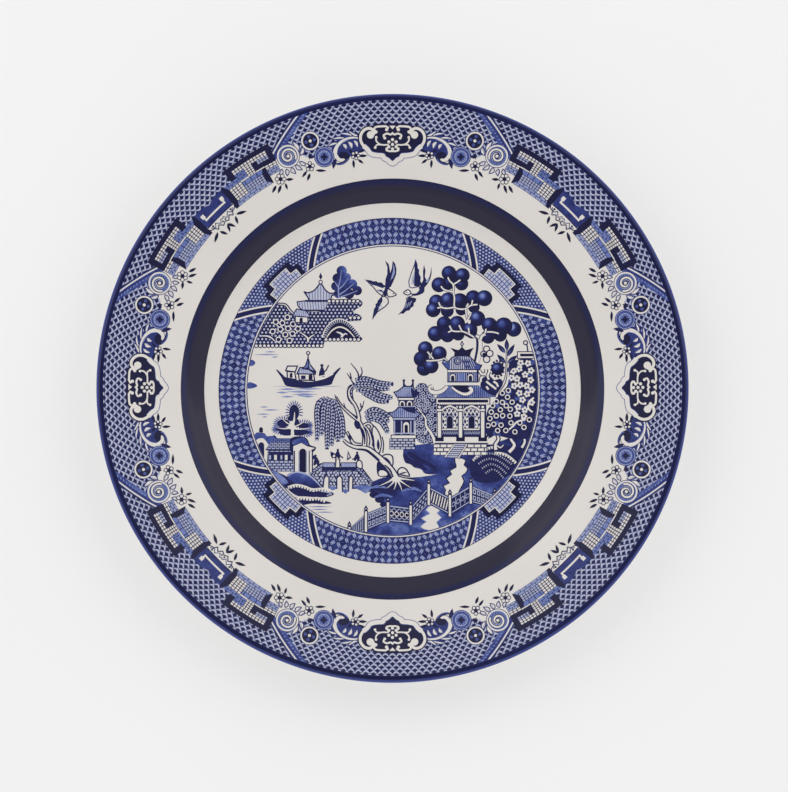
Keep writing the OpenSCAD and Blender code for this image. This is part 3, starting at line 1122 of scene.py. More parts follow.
def pavilion_eaves(d):
    """Swept lower roof with curled ends, and the frieze under it."""
    sweep = [
        (24, 2.2), (38.2, 2.2), (40, 0.2), (42.4, -1.4), (46, -3), (19.2, -3.2),
        (20.4, -1.4), (22.4, -0.2)]
    d.mask(sweep, SOFT, 0.4)
    hatch(d, 20, 46, -3.2, 2.2, 0.9, 0.3, DARK)
    d.fill(smooth([
        (26, 1.9), (28.4, -0.8), (31.6, -2.3), (34.6, -1.9), (35.7, -0.2), (34.8, 1.6),
        (33.2, 1.7)], 3) + [(33.2, 2.2), (26, 2.2)], NAVY)
    d.unmask()
    for path, width in (
            (((26.2, 1.5), (28.2, -0.2), (31.2, -1.6), (33.6, -1.4), (34.9, -0.2), (34.5, 0.9),
              (33.9, 0.4)), (0.7, 1.2, 1.5, 1.4)),
            (((24.2, 1.9), (22.6, 0.2), (20.6, -0.8), (18.6, -1), (17, -0.2), (16.6, 1.2),
              (17.6, 1.7)), (1.2, 1.6, 1.8, 1.5))):
        d.rope(smooth(path), tuple(w + 0.55 for w in width), width)
    d.dot(17.5, 0.9, 0.75, DARK)
    d.dot(17.5, 1.1, 0.45, 0)
    d.box(19, -6.3, 43.2, -3.1, DARK)
    d.box(19.4, -6, 42.8, -3.5, 0)
    d.box(20, -5.4, 42.2, -4.1, NAVY)
    for k in range(26):
        d.dot(20.8 + k * 0.82, -6.15, 0.3, 0, 6)


def pavilion_front(d):
    """Lattice screens with arched doors, between three columns."""
    d.box(19.6, -20.4, 41.4, -6.3, DARK, 0.2)
    for x in (25.3, 34.9):
        d.mask(rect(x - 3.7, -17, x + 3.7, -6.9), DARK)
        for k in range(11):
            for slant in (-5.6, 5.6):
                left = x - 9 + k * 1.75
                d.stroke(left, -17, left + slant, -6.9, 0.42, 0)
        for k in range(5):
            for row in range(6):
                d.dot(x - 3.5 + 1.75 * k, -8 - row * 1.58, 0.42, 0.1, 6)
        d.unmask()
        scallop = smooth([
            (x - 3.9, -9.4), (x - 2.6, -8), (x - 1.4, -7.4), (x, -6.9), (x + 1.4, -7.4),
            (x + 2.6, -8), (x + 3.9, -9.4)], 3)
        d.rope(scallop, 1.3, 0.75)
        d.arch(x, -17, 4, 6.4, DARK)
        for side in (-1, 1):
            for k in range(3):
                d.dot(x + side * 1.95, -16.2 + k * 1.8, 0.55, 0, 8)
        d.arch(x, -17, 2.6, 5.5, NAVY)
        d.line(arch(x, -17, 2.9, 5.8), 0.3, FAINT, closed=True)
        d.box(x - 3.7, -20, x + 3.7, -16.9, DARK)
        d.box(x - 3.5, -17.6, x + 3.5, -17, 0)
        for k in range(9):
            cx = x - 3.2 + k * 0.8
            d.line([(cx, -19.5), (cx + 0.4, -18.2), (cx + 0.8, -19.5)], 0.22, FAINT)
    for x in (20.7, 30, 39.8):
        d.box(x - 1.15, -20.3, x + 1.15, -7, DARK)
        d.box(x - 0.75, -20.2, x + 0.75, -9.6, 0)
        d.box(x - 1, -9.2, x + 1, -8.3, 0)
        d.dot(x, -7.4, 0.65, 0, 8)


def pavilion_base(d):
    """Plinth, brickwork and the stair."""
    d.box(18.6, -23.8, 42.2, -20.4, 0)
    d.stroke(18.6, -20.4, 42.2, -20.4, 0.56, DARK)
    d.stroke(18.6, -23.5, 42.2, -23.5, 0.5, DARK)
    for x in (20.7, 30, 39.8):
        d.box(x - 1.9, -22.6, x + 1.9, -20.6, NAVY)
        d.box(x - 0.7, -20.9, x + 0.7, -20, 0)
    wall(d, 18, -28.8, 41.6, -23.8, 3, 3, 0.45)
    stair = [(27.4, -23.8), (32.8, -23.8), (29, -30), (23.2, -29.4)]
    d.mask(stair, 0.06)
    for k in range(7):
        y = -24.4 - k * 0.92
        d.stroke(22, y, 34, y, 0.34, DARK)
    d.unmask()
    for a, b in (((27.4, -23.9), (23.2, -29.6)), ((32.8, -23.9), (28.8, -30.4))):
        d.rope([a, b], 0.95, 0.5)


def pavilion(d):
    """Main house, from its finial down to its stair."""
    d.piece = "pavilion_print"
    for part in (pavilion_top, pavilion_eaves, pavilion_front, pavilion_base):
        part(d)


def small_pagoda(d):
    """Two-tiered pagoda left of the pavilion."""
    d.piece = "small_pagoda_print"
    for x in (5, 9):
        d.stroke(x, 1.4, x, 4.4, 0.8, DARK)
        d.dot(x, 4.4, 0.6, DARK)
    d.line(smooth([(5, 3), (6, 1.9), (8, 1.9), (9, 3)]), 0.5, DARK)
    roof = smooth([(0.6, -0.8), (2.4, -0.2), (3.8, 0.9), (5, 1.8)]) + [(9, 1.8)]
    roof += smooth([(9.6, 0.8), (10.6, -0.4), (12, -1)]) + [(9.9, -3), (2, -3)]
    d.mask(roof, PALE, 0.5)
    hatch(d, 1, 12, -3, 2, 0.9, 0.24, DEEP)
    d.fill(smooth([(8, 2), (9, 0.6), (10.4, -0.4), (12.6, -0.8)]) + [(12, -3), (8.6, -3)], DARK)
    d.unmask()
    d.line(roof, 0.51, DARK, closed=True)
    d.box(2.2, -4.5, 9.8, -3, DARK)
    d.box(2.6, -4.2, 9.4, -3.4, 0)
    d.box(2.6, -7.4, 9.4, -4.4, DARK)
    for x in (4.3, 7.5):
        d.arch(x, -6.8, 2.4, 2.2, 0)
        d.arch(x, -6.8, 1.4, 1.6, NAVY)
    d.box(2.4, -7.6, 9.6, -7, FAINT)
    roof = smooth([(-1.8, -9.9), (0.2, -9.6), (1.6, -8.6), (2.4, -7.6)]) + [(9.6, -7.6)]
    roof += smooth([(10.2, -8.8), (11.2, -9.8), (12.6, -10.2)]) + [(10.4, -12.2), (0.2, -12.2)]
    d.mask(roof, PALE, 0.5)
    hatch(d, -1, 12, -12.2, -7.6, 0.9, 0.24, DEEP)
    d.fill([(3.6, -7.6), (9.6, -7.6), (10.4, -10.4), (6.4, -9.4)], DARK)
    d.unmask()
    d.line(roof, 0.51, DARK, closed=True)
    d.box(0.2, -13.4, 10.2, -12, DARK)
    d.box(0.4, -13, 10, -12.3, FAINT)
    d.box(0.4, -19.8, 9.8, -13.2, DARK)
    for x in (0.9, 4, 8.1, 9.6):
        d.stroke(x, -19.6, x, -13.5, 0.5, FAINT)
    d.arch(6.05, -18.8, 2.6, 4.8, 0)
    d.arch(6.05, -18.8, 1.5, 3.6, NAVY)
    d.box(0.4, -19.3, 9.8, -18.8, FAINT)
    d.box(-0.8, -21.5, 10.6, -19.6, DARK)
    d.box(-0.4, -21.2, 10.2, -20, 0)
    wall(d, -1.4, -26.2, 10, -21.4, 4, 2.4, 0.45, 0.08)


def ring_blossoms(d, outline, ground, step, r, seed, hole=NAVY):
    """Leafy mass sown with ring-shaped flowers."""
    rng = random.Random(seed)
    xs = [p[0] for p in outline]
    ys = [p[1] for p in outline]
    d.mask(outline, ground, 0.3)
    y = min(ys)
    row = 0
    while y < max(ys):
        x = min(xs) + (step / 2 if row % 2 else 0)
        while x < max(xs):
            px = x + rng.uniform(-0.15, 0.15) * step
            py = y + rng.uniform(-0.15, 0.15) * step
            d.ring(px, py, r, r * 0.44, 0.1, hole, 9)
            x += step
        y += step * 0.82
        row += 1
    d.unmask()


def near_blossoms(d):
    """Flowering tree between the two buildings."""
    ring_blossoms(d, loop([
        (10.4, 2), (13.6, 3.2), (16, 1.6), (18.4, -2.6), (19.4, -7), (19, -22.6), (16, -23.6),
        (11, -22.4), (10, -14), (9.6, -5)]), DARK, 2, 0.84, 3, DARK)
    trunk = smooth([
        (11, -7.6), (12.8, -10), (14.6, -12.6), (14.8, -15.6), (16.8, -18.6),
        (18, -21), (18.6, -23.6)])
    d.rope(trunk, (0.8, 1.4, 1.8, 1.8), (0.4, 0.7, 1.1, 1.1))
    d.stroke(15.4, -17.4, 13.8, -19.8, 0.4, 0)


def far_blossoms(d):
    """Flowering mass on the right, with two kinds of flowers."""
    ground = loop([
        (51.6, 12.6), (55, 13.6), (60, 14.2), (63.5, 12), (65, 2), (64.5, -8), (62, -20),
        (54, -21.6), (46, -20), (41.6, -20), (41.6, -10), (44, -6), (47, -1.6),
        (50.4, 1.6), (51.4, 6)])
    d.mask(ground, DARK, 0.25)
    rng = random.Random(11)
    for k in range(60):
        x, y = rng.uniform(42, 62), rng.uniform(-20, 13)
        d.fill(blob(x, y, rng.uniform(0.5, 1.2), rng.uniform(0.5, 1), 7), MID, 0.3)
    for x, y in (
            (53.4, 8.6), (56, 9.6), (59.8, 12), (56.6, 12.2), (61.2, 8.8), (52.6, 5.6), (55, 5.2),
            (58.6, 7), (61, 4.6), (56.4, 2.4), (59.2, 2), (53.8, 2), (61.6, 0.2), (56, -1.2),
            (59.4, -1.6), (57.4, -4.2), (55.4, -7.4), (58.4, -8.6), (61.4, -5.4),
            (55, -10.4), (58, -11.6)):
        for k in range(5):
            d.dot(*around(x, y, 0.95, 72 * k + 20 * x), 0.62, 0, 7)
        d.dot(x, y, 0.42, MID, 6)
    for x, y in (
            (48.5, -1.2), (51.1, 0), (50.8, -3), (45.8, -4.9), (48.5, -5.3), (52.8, -5.2),
            (47.6, -8.6), (52, -8.4), (43.6, -9.6), (45.8, -11.3), (48.6, -11.2), (51.8, -11.4),
            (43, -12.5), (44.7, -15), (47.9, -15.4), (52.3, -14.4), (54, -18.4), (42.2, -15.6),
            (50, -17.8), (58, -16.4), (60.4, -13), (44.2, -6.8), (56.2, -14.4),
            (50.2, -6.8), (46.4, -17.8)):
        d.ring(x, y, 1.2, 0.48, 0, DARK, 12)
        d.dot(x, y, 0.3, NAVY, 6)
    for path in (
            ((51.4, -17.4), (53.2, -15.8), (55.2, -13.8), (58.6, -13)),
            ((61.8, -9.6), (60, -8), (60.2, -5.2), (62.4, -3.2)),
            ((46.2, -2.6), (47, -0.2), (48.8, 2), (50, 4))):
        d.line(smooth(path), 0.75, 0)
    d.unmask()


def tall_plant(d):
    """Tall stem with pointed leaves, a round bud and a dark clump with white stalks."""
    stem = smooth([
        (46, -3), (46.6, -0.6), (48.6, 2.2), (50, 5.6), (50.3, 10), (50.4, 15), (50.6, 19)])
    d.rope(stem, (1.6, 1.6, 1.4, 1, 0.7, 0.6), (0.8, 0.8, 0.6, 0.3, 0.2, 0.2))
    for base, tip, width in (
            ((50.6, 17.6), (50.4, 23), 2), ((50, 16.6), (46.2, 20.6), 2),
            ((50.6, 15), (54, 20.6), 2.1), ((50, 12), (46.2, 16), 2.1),
            ((50.8, 12), (55.2, 15.6), 2.2), ((50.4, 8), (53.4, 11.4), 1.8)):
        d.leaf(base, tip, width, DARK)
        d.stroke(*base, (base[0] + tip[0]) / 2, (base[1] + tip[1]) / 2, 0.2, SOFT)
    ball(d, 46.4, 9.6, 2.9, 0.5)
    for k in range(12):
        a = k * 30 * DEG
        base = (46.4 + 2.2 * math.cos(a), 9.6 + 3 * math.sin(a))
        tip = (46.4 + 3.3 * math.cos(a + 0.2), 9.6 + 4.2 * math.sin(a + 0.2))
        d.leaf(base, tip, 1.1, DARK)
    d.fill(loop([
        (38.8, 2.6), (40, 5.4), (42.6, 6.6), (45, 4.6), (47.6, 5.2), (48.8, 3), (47.2, 0),
        (44.6, -2.8), (41, -1.6), (39.4, 0)]), DARK, 0.2)
    for path in (
            ((41.4, 9.4), (41, 7), (39.2, 5.6), (39, 3.8)),
            ((38.4, 8.8), (39.4, 7.2), (40.8, 7.2)), ((42.8, 8.4), (42, 6.4), (42.6, 4.8)),
            ((41.4, 4), (43.4, 2.4), (45.8, 0.6)), ((42.4, 0.4), (41.4, 1.8)),
            ((44.6, 4), (46, 3), (46.6, 1.6))):
        curve = smooth(path, 3)
        d.rope(curve, 1.7, 0.9)


def eaves_beyond(d):
    """Corner of a roof at the right edge of the scene."""
    d.box(55, 14, 64, 17.4, DARK)
    d.box(55.4, 14.4, 64, 17, 0)
    d.box(56.4, 15.1, 64, 16.3, NAVY)
    d.stroke(59.4, 20.4, 59.8, 17.4, 0.61, DARK)
    d.ring(58.8, 21.2, 1.15, 0.51, DARK, 0, 12)


def blossom_clumps(d):
    """Flowering trees between the buildings and on the right."""
    d.piece = "blossom_print"
    for part in (near_blossoms, far_blossoms, tall_plant, eaves_beyond):
        part(d)


def along(path, step):
    """Points a step apart along a path, each with the path's direction there."""
    spots = []
    rest = step / 2
    for (x0, y0), (x1, y1) in zip(path, path[1:]):
        length = math.hypot(x1 - x0, y1 - y0)
        dx, dy = (x1 - x0) / length, (y1 - y0) / length
        while rest <= length:
            spots.append((x0 + dx * rest, y0 + dy * rest, dx, dy))
            rest += step
        rest -= length
    return spots


def strand(d, path):
    """Willow strand: pairs of pale leaves that point along it, on a dark ground."""
    width, step = 2.7, 1.5
    curve = smooth(path, 3)
    d.line(curve, (0.7 * width, width, width, width, 0.6 * width), DARK)
    reach = 0.34 * width
    for x, y, dx, dy in along(curve, step):
        for side in (-1, 1):
            base = (x - 0.6 * dx - 0.16 * side * dy, y - 0.6 * dy + 0.16 * side * dx)
            tip_x = x + 0.8 * reach * dx - side * reach * dy
            tip_y = y + 0.8 * reach * dy + side * reach * dx
            d.leaf(base, (tip_x, tip_y), 0.66, 0.1)


def boughs(d, paths):
    """White boughs with a dark edge, run into one another where they meet."""
    curves = [(smooth(path, 3), width) for path, width in paths]
    for curve, width in curves:
        d.line(curve, tuple(w + 1 for w in width), DARK)
    for curve, width in curves:
        d.line(curve, tuple(0.9 * w for w in width), 0)


def willow_strands(d):
    """Hanging strands, and the dark twigs that carry them."""
    for path in (
            ((-16.4, 4.4), (-12, 5), (-5.2, 3), (0.4, 2.8)),
            ((-17.2, 2.4), (-10, 2.6), (-5.4, 1), (-1.4, 0.9)),
            ((-16, 0.4), (-9, -0.6), (-4, -2.6), (0, -3.2)),
            ((-13.4, -0.8), (-9.6, -2.6), (-6, -4.4), (-1.6, -4.9)),
            ((-29.6, -3.4), (-32.4, -5.6), (-33.3, -10), (-33, -16), (-33.4, -22.2)),
            ((-28, -3.2), (-30.4, -7.6), (-30.7, -14), (-31.4, -20)),
            ((-27.4, -3.4), (-28.3, -9), (-28.6, -18), (-28.9, -26.2)),
            ((-26.2, -3.8), (-26.2, -10), (-26.8, -18), (-26.8, -24.6)),
            ((-25.4, -4.6), (-24.1, -11), (-24.4, -18), (-24, -22.8)),
            ((-24.8, -6), (-22.6, -12), (-22, -18), (-22.2, -21.4)),
            ((-16.4, 2), (-18.5, 0.9), (-18.8, -2.4), (-17.6, -5.8)),
            ((-11.4, -13.4), (-7.6, -12.2), (-4.6, -14.2), (-2.2, -17.4)),
            ((-12, -10.4), (-8.4, -8.6), (-4.6, -9.8), (-1.4, -12)),
            ((-12, -12.2), (-8, -10.8), (-4, -12), (-1.6, -14.2)),
            ((-8.8, -12.6), (-5.4, -13.6), (-3.4, -16), (-2, -19))):
        strand(d, path)
    twigs = (
        ((-18.5, 12.1), (-16.4, 9.6), (-15.2, 7.4), (-14.8, 4.6)),
        ((-14, 10.6), (-13.4, 7.8), (-14.8, 5.4)), ((-20.1, 7.6), (-18.2, 4.6), (-16.8, 2.2)),
        ((-18.8, 8), (-18.2, 5.2)), ((-21.6, -5.6), (-20.4, -9)),
        ((-12.6, -4.6), (-13.4, -7.6), (-15, -10)), ((-14.2, -5.6), (-13.8, -7.6)),
        ((-25.5, -1.8), (-24.4, -5)))
    for path in twigs:
        d.line(smooth(path, 3), (0.3, 0.55, 0.8), DARK)


def willow_foot(d):
    """White loops and hollows round the foot of the willow."""
    knot = loop([(-8.4, -15.6), (-9, -19), (-8.4, -25), (-6.2, -28), (-4.8, -25), (-5.6, -19.6)])
    d.edged(knot, 0.56, DARK, 0)
    d.leaf((-6.2, -26.6), (-6.4, -21.4), 1.3, DARK)
    d.edged(loop([
        (-1.6, -28.4), (0, -29.4), (0.2, -32.6), (-0.8, -33.6), (-2.6, -31.8), (-4.4, -29.6),
        (-3.6, -28.6)]), 0.58, DARK, 0)
    d.leaf((-3.8, -29.5), (-0.4, -33), 1.4, DARK)
    d.fill(loop([
        (-6.4, -31.6), (-3, -33.4), (-0.6, -35.8), (0.2, -38.6), (-2.6, -38.4), (-6.2, -38),
        (-7, -34.6)]), DARK, 0.2)
    d.fill(loop([(-6, -36), (-4.6, -35.4), (-2.8, -36.2), (-2.4, -37.6), (-5.6, -37.9)]), 0)
    d.edged(loop([
        (2.6, -37), (2.4, -35.4), (4, -34.2), (5.8, -34.8), (6.8, -36.2), (7.4, -38),
        (4.4, -37.6)]), 0.61, DARK, 0)
    d.leaf((3, -37), (6.6, -36.2), 0.7, DARK)


def willow_boughs(d):
    """Roots, leaning trunk and boughs, with the shade drawn on them."""
    boughs(d, (
        (((1.5, -40.4), (1, -38), (-2.2, -33.4), (-7.6, -28.4), (-11.4, -25.8), (-16, -25.2),
        (-19.6, -23.8), (-21.6, -22)), (3.4, 2.4, 1.9, 1.1, 0.5)),
        (((1, -38.6), (-1.6, -40.4), (-6, -42.4)), (1.6, 0.7, 0.2)),
        (((1.2, -39.2), (-0.2, -41.4), (-2.6, -43.4)), (1.3, 0.6, 0.2)),
        (((1.5, -39.4), (1.4, -41.8), (0.6, -44)), (1.3, 0.6, 0.2)),
        (((2, -39.4), (3.3, -42), (4.2, -44.4)), (1.3, 0.6, 0.2)),
        (((2.2, -39.2), (5, -41.2), (8.2, -43.2)), (1.2, 0.5, 0.2)),
        (((1.8, -38.8), (4.6, -39.2), (9.6, -39.9)), (1.8, 0.8, 0.3)),
        (((-12.4, -24.6), (-12.2, -20.4), (-13.4, -16.6), (-15, -13.4), (-17.6, -11.4),
        (-20.6, -8.8), (-23, -6.2), (-25, -2.8)), (1.6, 1.3, 1, 0.5, 0.1)),
        (((-14.6, -13.2), (-15.4, -9.4), (-16.6, -6.4), (-18.8, -3.2), (-19.2, 0), (-17.6, 2)),
        (1, 0.9, 0.8, 0.3)),
        (((-9.6, -24.6), (-9.4, -21.6), (-10.8, -17.6), (-12.8, -15.4)), (1, 0.8, 0.6, 0.4)),
        (((-5, -27.6), (-4.4, -24), (-5, -20.6)), (0.9, 0.5, 0.2)),
        (((-20.2, -18.2), (-18.8, -20.8), (-17, -23.6), (-13.8, -23.9)), (0.3, 0.7, 0.8, 0.3)),
        (((-12.6, -15.4), (-10.6, -14.6), (-9, -16), (-10, -17.4)), (0.6, 0.7, 0.5, 0.3))))
    d.fill(loop([
        (-16.6, -13.4), (-14.8, -13.8), (-13.8, -16.4), (-15.6, -17.2), (-16.9, -15.4)], 2), DARK)
    for path, width in (
            (((-16, -25.9), (-11.6, -26.5), (-8.4, -28.9), (-5.6, -31)), (0.3, 0.9, 1.2, 0.4)),
            (((-15, -15.4), (-13.2, -18), (-12.3, -21), (-12.3, -24)), (0.7, 1.2, 0.8, 0.4)),
            (((-10.1, -17.6), (-9, -20), (-8.4, -23), (-8.1, -25.8)), (0.6, 1.2, 0.9, 0.4)),
            (((-18.8, -9.6), (-16.9, -11.2), (-15.6, -12.8)), (0.3, 0.8, 0.4)),
            (((-3.6, -33), (-1.2, -35.2), (0.2, -38.4)), (0.4, 0.9, 0.6))):
        d.line(smooth(path), width, DARK)
    d.leaf((-18.4, -22.4), (-19.2, -18.8), 1.1, DARK)


def willow(d):
    """Willow that leans over the water."""
    d.piece = "willow_print"
    willow_strands(d)
    willow_foot(d)
    willow_boughs(d)


def figure(d, x, y, lean, size=1):
    """Tiny plain walker: a head and a coat, in silhouette."""
    d.dot(x + 0.5 * lean, y + 4.2 * size, 0.62 * size, DARK, 9)
    d.fill([
        (x + 0.3 * lean - 0.3, y + 3.7 * size), (x + 0.3 * lean + 0.6, y + 3.6 * size),
        (x + 1.4, y + 1.6 * size), (x + 1.2, y), (x + 0.3, y - 0.1), (x, y + 0.8),
        (x - 0.4, y - 0.1), (x - 1.3, y), (x - 1.1, y + 1.8 * size)], DARK, 0.1)


def bridge(d):
    """Arched bridge with three small figures."""
    d.piece = "bridge_print"
    body = [
        (-36.6, -36.6), (-34.4, -34.8), (-31.8, -32.6), (-15.2, -32.6), (-12.6, -35.6),
        (-9, -40.4), (-8.6, -42), (-12, -43.2), (-17.6, -43.4), (-17.4, -38.6), (-18.4, -37.6),
        (-19.2, -39), (-19.4, -44.6), (-22, -44.8), (-22.2, -39), (-23.4, -37.6), (-24.6, -39),
        (-24.6, -43.4), (-28, -43.2), (-28, -38.6), (-29.2, -37.6), (-30.2, -39),
        (-30.6, -42.6), (-33.6, -40.2)]
    ring_blossoms(d, body, DARK, 1.45, 0.56, 5, 0.08)
    d.line(body, 0.6, DARK, closed=True)
    for x0, x1, y in ((-28, -24.6, -42.8), (-22, -19.4, -44.2)):
        d.fill(loop([(x0, y), (x1, y), ((x0 + x1) / 2, y - 1.6)]), SOFT, 0.5)
    d.fill(loop([(-17.4, -42.6), (-9.4, -42.2), (-11.4, -45.6), (-14, -44.4)]), SOFT, 0.6)
    for x0, x1 in ((-30.8, -25.4), (-22.8, -16)):
        d.box(x0, -34, x1, -31.9, DARK)
        d.box(x0 + 0.3, -33.9, x1 - 0.3, -32.3, FAINT)
        x = x0 + 0.5
        while x < x1 - 0.8:
            d.stroke(x, -33.8, x + 0.6, -32.4, 0.26, SOFT)
            x += 0.75
    d.box(-31.2, -35.6, -15, -34, DARK, 0.1)
    for path in (
            ((-36.4, -37), (-34, -35.2), (-31.2, -33.2)),
            ((-15.6, -34.6), (-12.2, -38), (-8.8, -41))):
        d.line(path, 1.5, DARK)
        d.line(path, 0.75, FAINT)
        for x, y, _, _ in along(path, 1.2):
            d.stroke(x - 0.4, y, x + 0.4, y, 0.38, DARK)
    d.box(-25.3, -34, -23, -30.4, DARK)
    d.fill([(-24.9, -34), (-23.4, -34), (-23.6, -30.6), (-24.6, -30.6)], 0)
    d.edged(loop([
        (-15.6, -34), (-15.8, -31.8), (-14.6, -31), (-13.5, -32), (-13.5, -34.6)]), 0.51, DARK, 0)
    figure(d, -33.6, -33.2, -0.8)
    d.fill([(-35.4, -29), (-33.8, -28.8), (-34.2, -30.4), (-35.2, -30.6)], DARK)
    figure(d, -24.4, -30.2, 0.6, 0.9)
    d.fill([(-27.4, -27), (-25.4, -28), (-24.6, -29.6), (-26.6, -30.2), (-27.3, -29)], DARK)
    d.fill([(-25.9, -28.4), (-25.2, -28.9), (-25.7, -29.8), (-26.5, -29.3)], 0)
    d.stroke(-23.6, -28.6, -21.8, -30, 0.6, DARK)
    figure(d, -15.8, -31.2, 0.4, 0.85)
    d.stroke(-17.8, -30.6, -15.6, -29.8, 0.5, DARK)
    sail = [(-19.7, -26.6), (-18.2, -29.8), (-20.1, -31.2)]
    d.fill(sail, DARK)
    d.fill([(-19.4, -28), (-18.8, -29.5), (-19.6, -30.1)], 0)


def spiky_tree(d):
    """Tree with spiked lobes and thin white boughs."""
    lobes = (
        (-43.4, -9.8, 2.5, 3.9, 90), (-48.2, -14.6, 3.2, 2, 140), (-48.8, -17.2, 3.2, 1.3, 180),
        (-39.2, -15.6, 2.9, 1.4, 25), (-39.4, -18.6, 3.2, 1.2, 0))
    for x, y, rx, ry, face in lobes:
        for k in range(22):
            a = 360 * k / 22
            if abs((a - face + 180) % 360 - 180) > 118:
                continue
            ux, uy = math.cos(a * DEG), math.sin(a * DEG)
            base = (x + 0.75 * rx * ux, y + 0.75 * ry * uy)
            tip = (x + (rx + 1.7) * ux, y + (ry + 1.7) * uy)
            d.leaf(base, tip, 0.55, MID, 0, 0.5)
    for x, y, rx, ry, face in lobes:
        d.fill(blob(x, y, rx * 0.9, ry * 0.88), DARK, 0.3)
    d.fill(blob(-44.8, -12.4, 1.5, 1.3), DARK)
    d.fill(blob(-42.2, -14.6, 1.2, 1.9), DARK)
    for x in (-46.6, -41.4):
        d.fill(blob(x, -18.6, 3.6, 1.5), DARK)
    for path, width in (
            (((-44.1, -21), (-44.1, -16), (-43.4, -13), (-43.2, -9.6)), (1.5, 1.2, 0.8, 0.2)),
            (((-44.4, -15.6), (-46.6, -14.4), (-48.6, -12.6)), (0.6, 0.5, 0.2)),
            (((-44.4, -16.6), (-47.6, -17), (-51, -16.6)), (0.6, 0.5, 0.2)),
            (((-43.8, -16.4), (-41.6, -15.4), (-39.4, -14.2)), (0.6, 0.5, 0.2)),
            (((-43.8, -17), (-40.6, -17.2), (-36.6, -16.8)), (0.6, 0.5, 0.2))):
        d.line(smooth(path), width, 0)


def low_house(d):
    """Gable, tiled roof and brick wall."""
    gable = [
        (-61.4, -20), (-59.8, -18.6), (-56.4, -19), (-55.4, -20.4), (-52, -20), (-52.6, -23.6),
        (-56, -25), (-62, -25)]
    d.fill(gable, MID, 0.4)
    d.fill([(-58.9, -18.6), (-58.8, -16.8), (-58, -16.2), (-57.2, -16.8), (-57.2, -18.8)], NAVY)
    d.fill(loop([
        (-60, -22), (-58.4, -21.2), (-56.8, -21.4), (-55.2, -23.4), (-54.4, -25.2), (-56, -30),
        (-60, -29), (-60.6, -24.4)], 2), 0)
    d.arch(-57.9, -29.6, 2.6, 6.6, DARK)
    roof = [
        (-52.4, -19.6), (-50.6, -21.2), (-40.6, -21.2), (-40, -26.4), (-56.2, -26.4),
        (-54.4, -23.8), (-52.6, -23)]
    d.mask(roof, DARK, 0.3)
    for k in range(7):
        x = -57 + 0.9 * (k % 2)
        while x < -40:
            d.box(x, -26 + 0.76 * k, x + 1.5, -25.56 + 0.76 * k, FAINT if k < 4 else SOFT)
            x += 1.85
    d.unmask()
    wall(d, -55, -36, -43.2, -26.2, 8, 2, 0.42, FAINT)
    d.box(-54.6, -30.9, -43.2, -27.6, DARK, 0.2)
    for x in (-51.6, -46.9):
        d.box(x - 0.6, -30.9, x + 0.6, -28.6, 0)
    for x in (-54, -49, -44.4):
        d.box(x - 0.4, -30.6, x + 0.4, -28.8, FAINT)
    d.stroke(-55.4, -26.6, -43.2, -26.6, 0.5, DARK)
    d.stroke(-55.2, -36, -55.2, -26.4, 0.56, DARK)
    d.fill([(-56.2, -30.6), (-55.6, -26.6), (-55, -26.6), (-55.4, -33)], 0)


def gatehouse(d):
    """Tall white gate under a dark curled eave."""
    eave = loop([
        (-44.6, -21), (-40.4, -20.4), (-37.6, -21.6), (-36.4, -24.2), (-33.8, -25.2), (-34.6, -27),
        (-37, -27.6), (-44.4, -27.6), (-45.4, -24.4)])
    d.fill(eave, DARK)
    d.fill(loop([
        (-44.2, -22.6), (-40.2, -21), (-38.2, -22), (-37.2, -24.4), (-40.2, -23.2),
        (-43.4, -24.2)]), MID, 0.4)
    d.fill([
        (-43.8, -24.8), (-40.2, -23.3), (-37.6, -24.8), (-34.2, -25.6), (-36.4, -26.8),
        (-36.4, -36.4), (-43.6, -36.4)], 0)
    d.stroke(-43.3, -26.8, -43.3, -36.2, 0.56, DARK)
    d.stroke(-41.3, -26.8, -41.3, -36.2, 0.4, FAINT)
    d.stroke(-37.9, -26.8, -37.9, -36.2, 0.25, SOFT)
    d.stroke(-36.7, -26.8, -36.7, -36.2, 0.51, DARK)
    d.arch(-39.6, -36.4, 2.9, 10.6, NAVY, 0.1)
    d.box(-36.5, -36.4, -35.4, -26.8, 0)
    d.stroke(-35.3, -36.4, -35.3, -26.6, 0.56, DARK)


def serrated(d, points, tone, width=1.5):
    """White crest of a rock with short dark teeth."""
    step, length = 1.3, 1
    curve = smooth(points)
    d.line(curve, width, 0)
    for x, y, dx, dy in along(curve, step):
        outer, inner = width * 0.5, width * 0.5 - length
        d.stroke(x + dy * outer, y - dx * outer, x + dy * inner, y - dx * inner, (0.62, 0.16), tone)


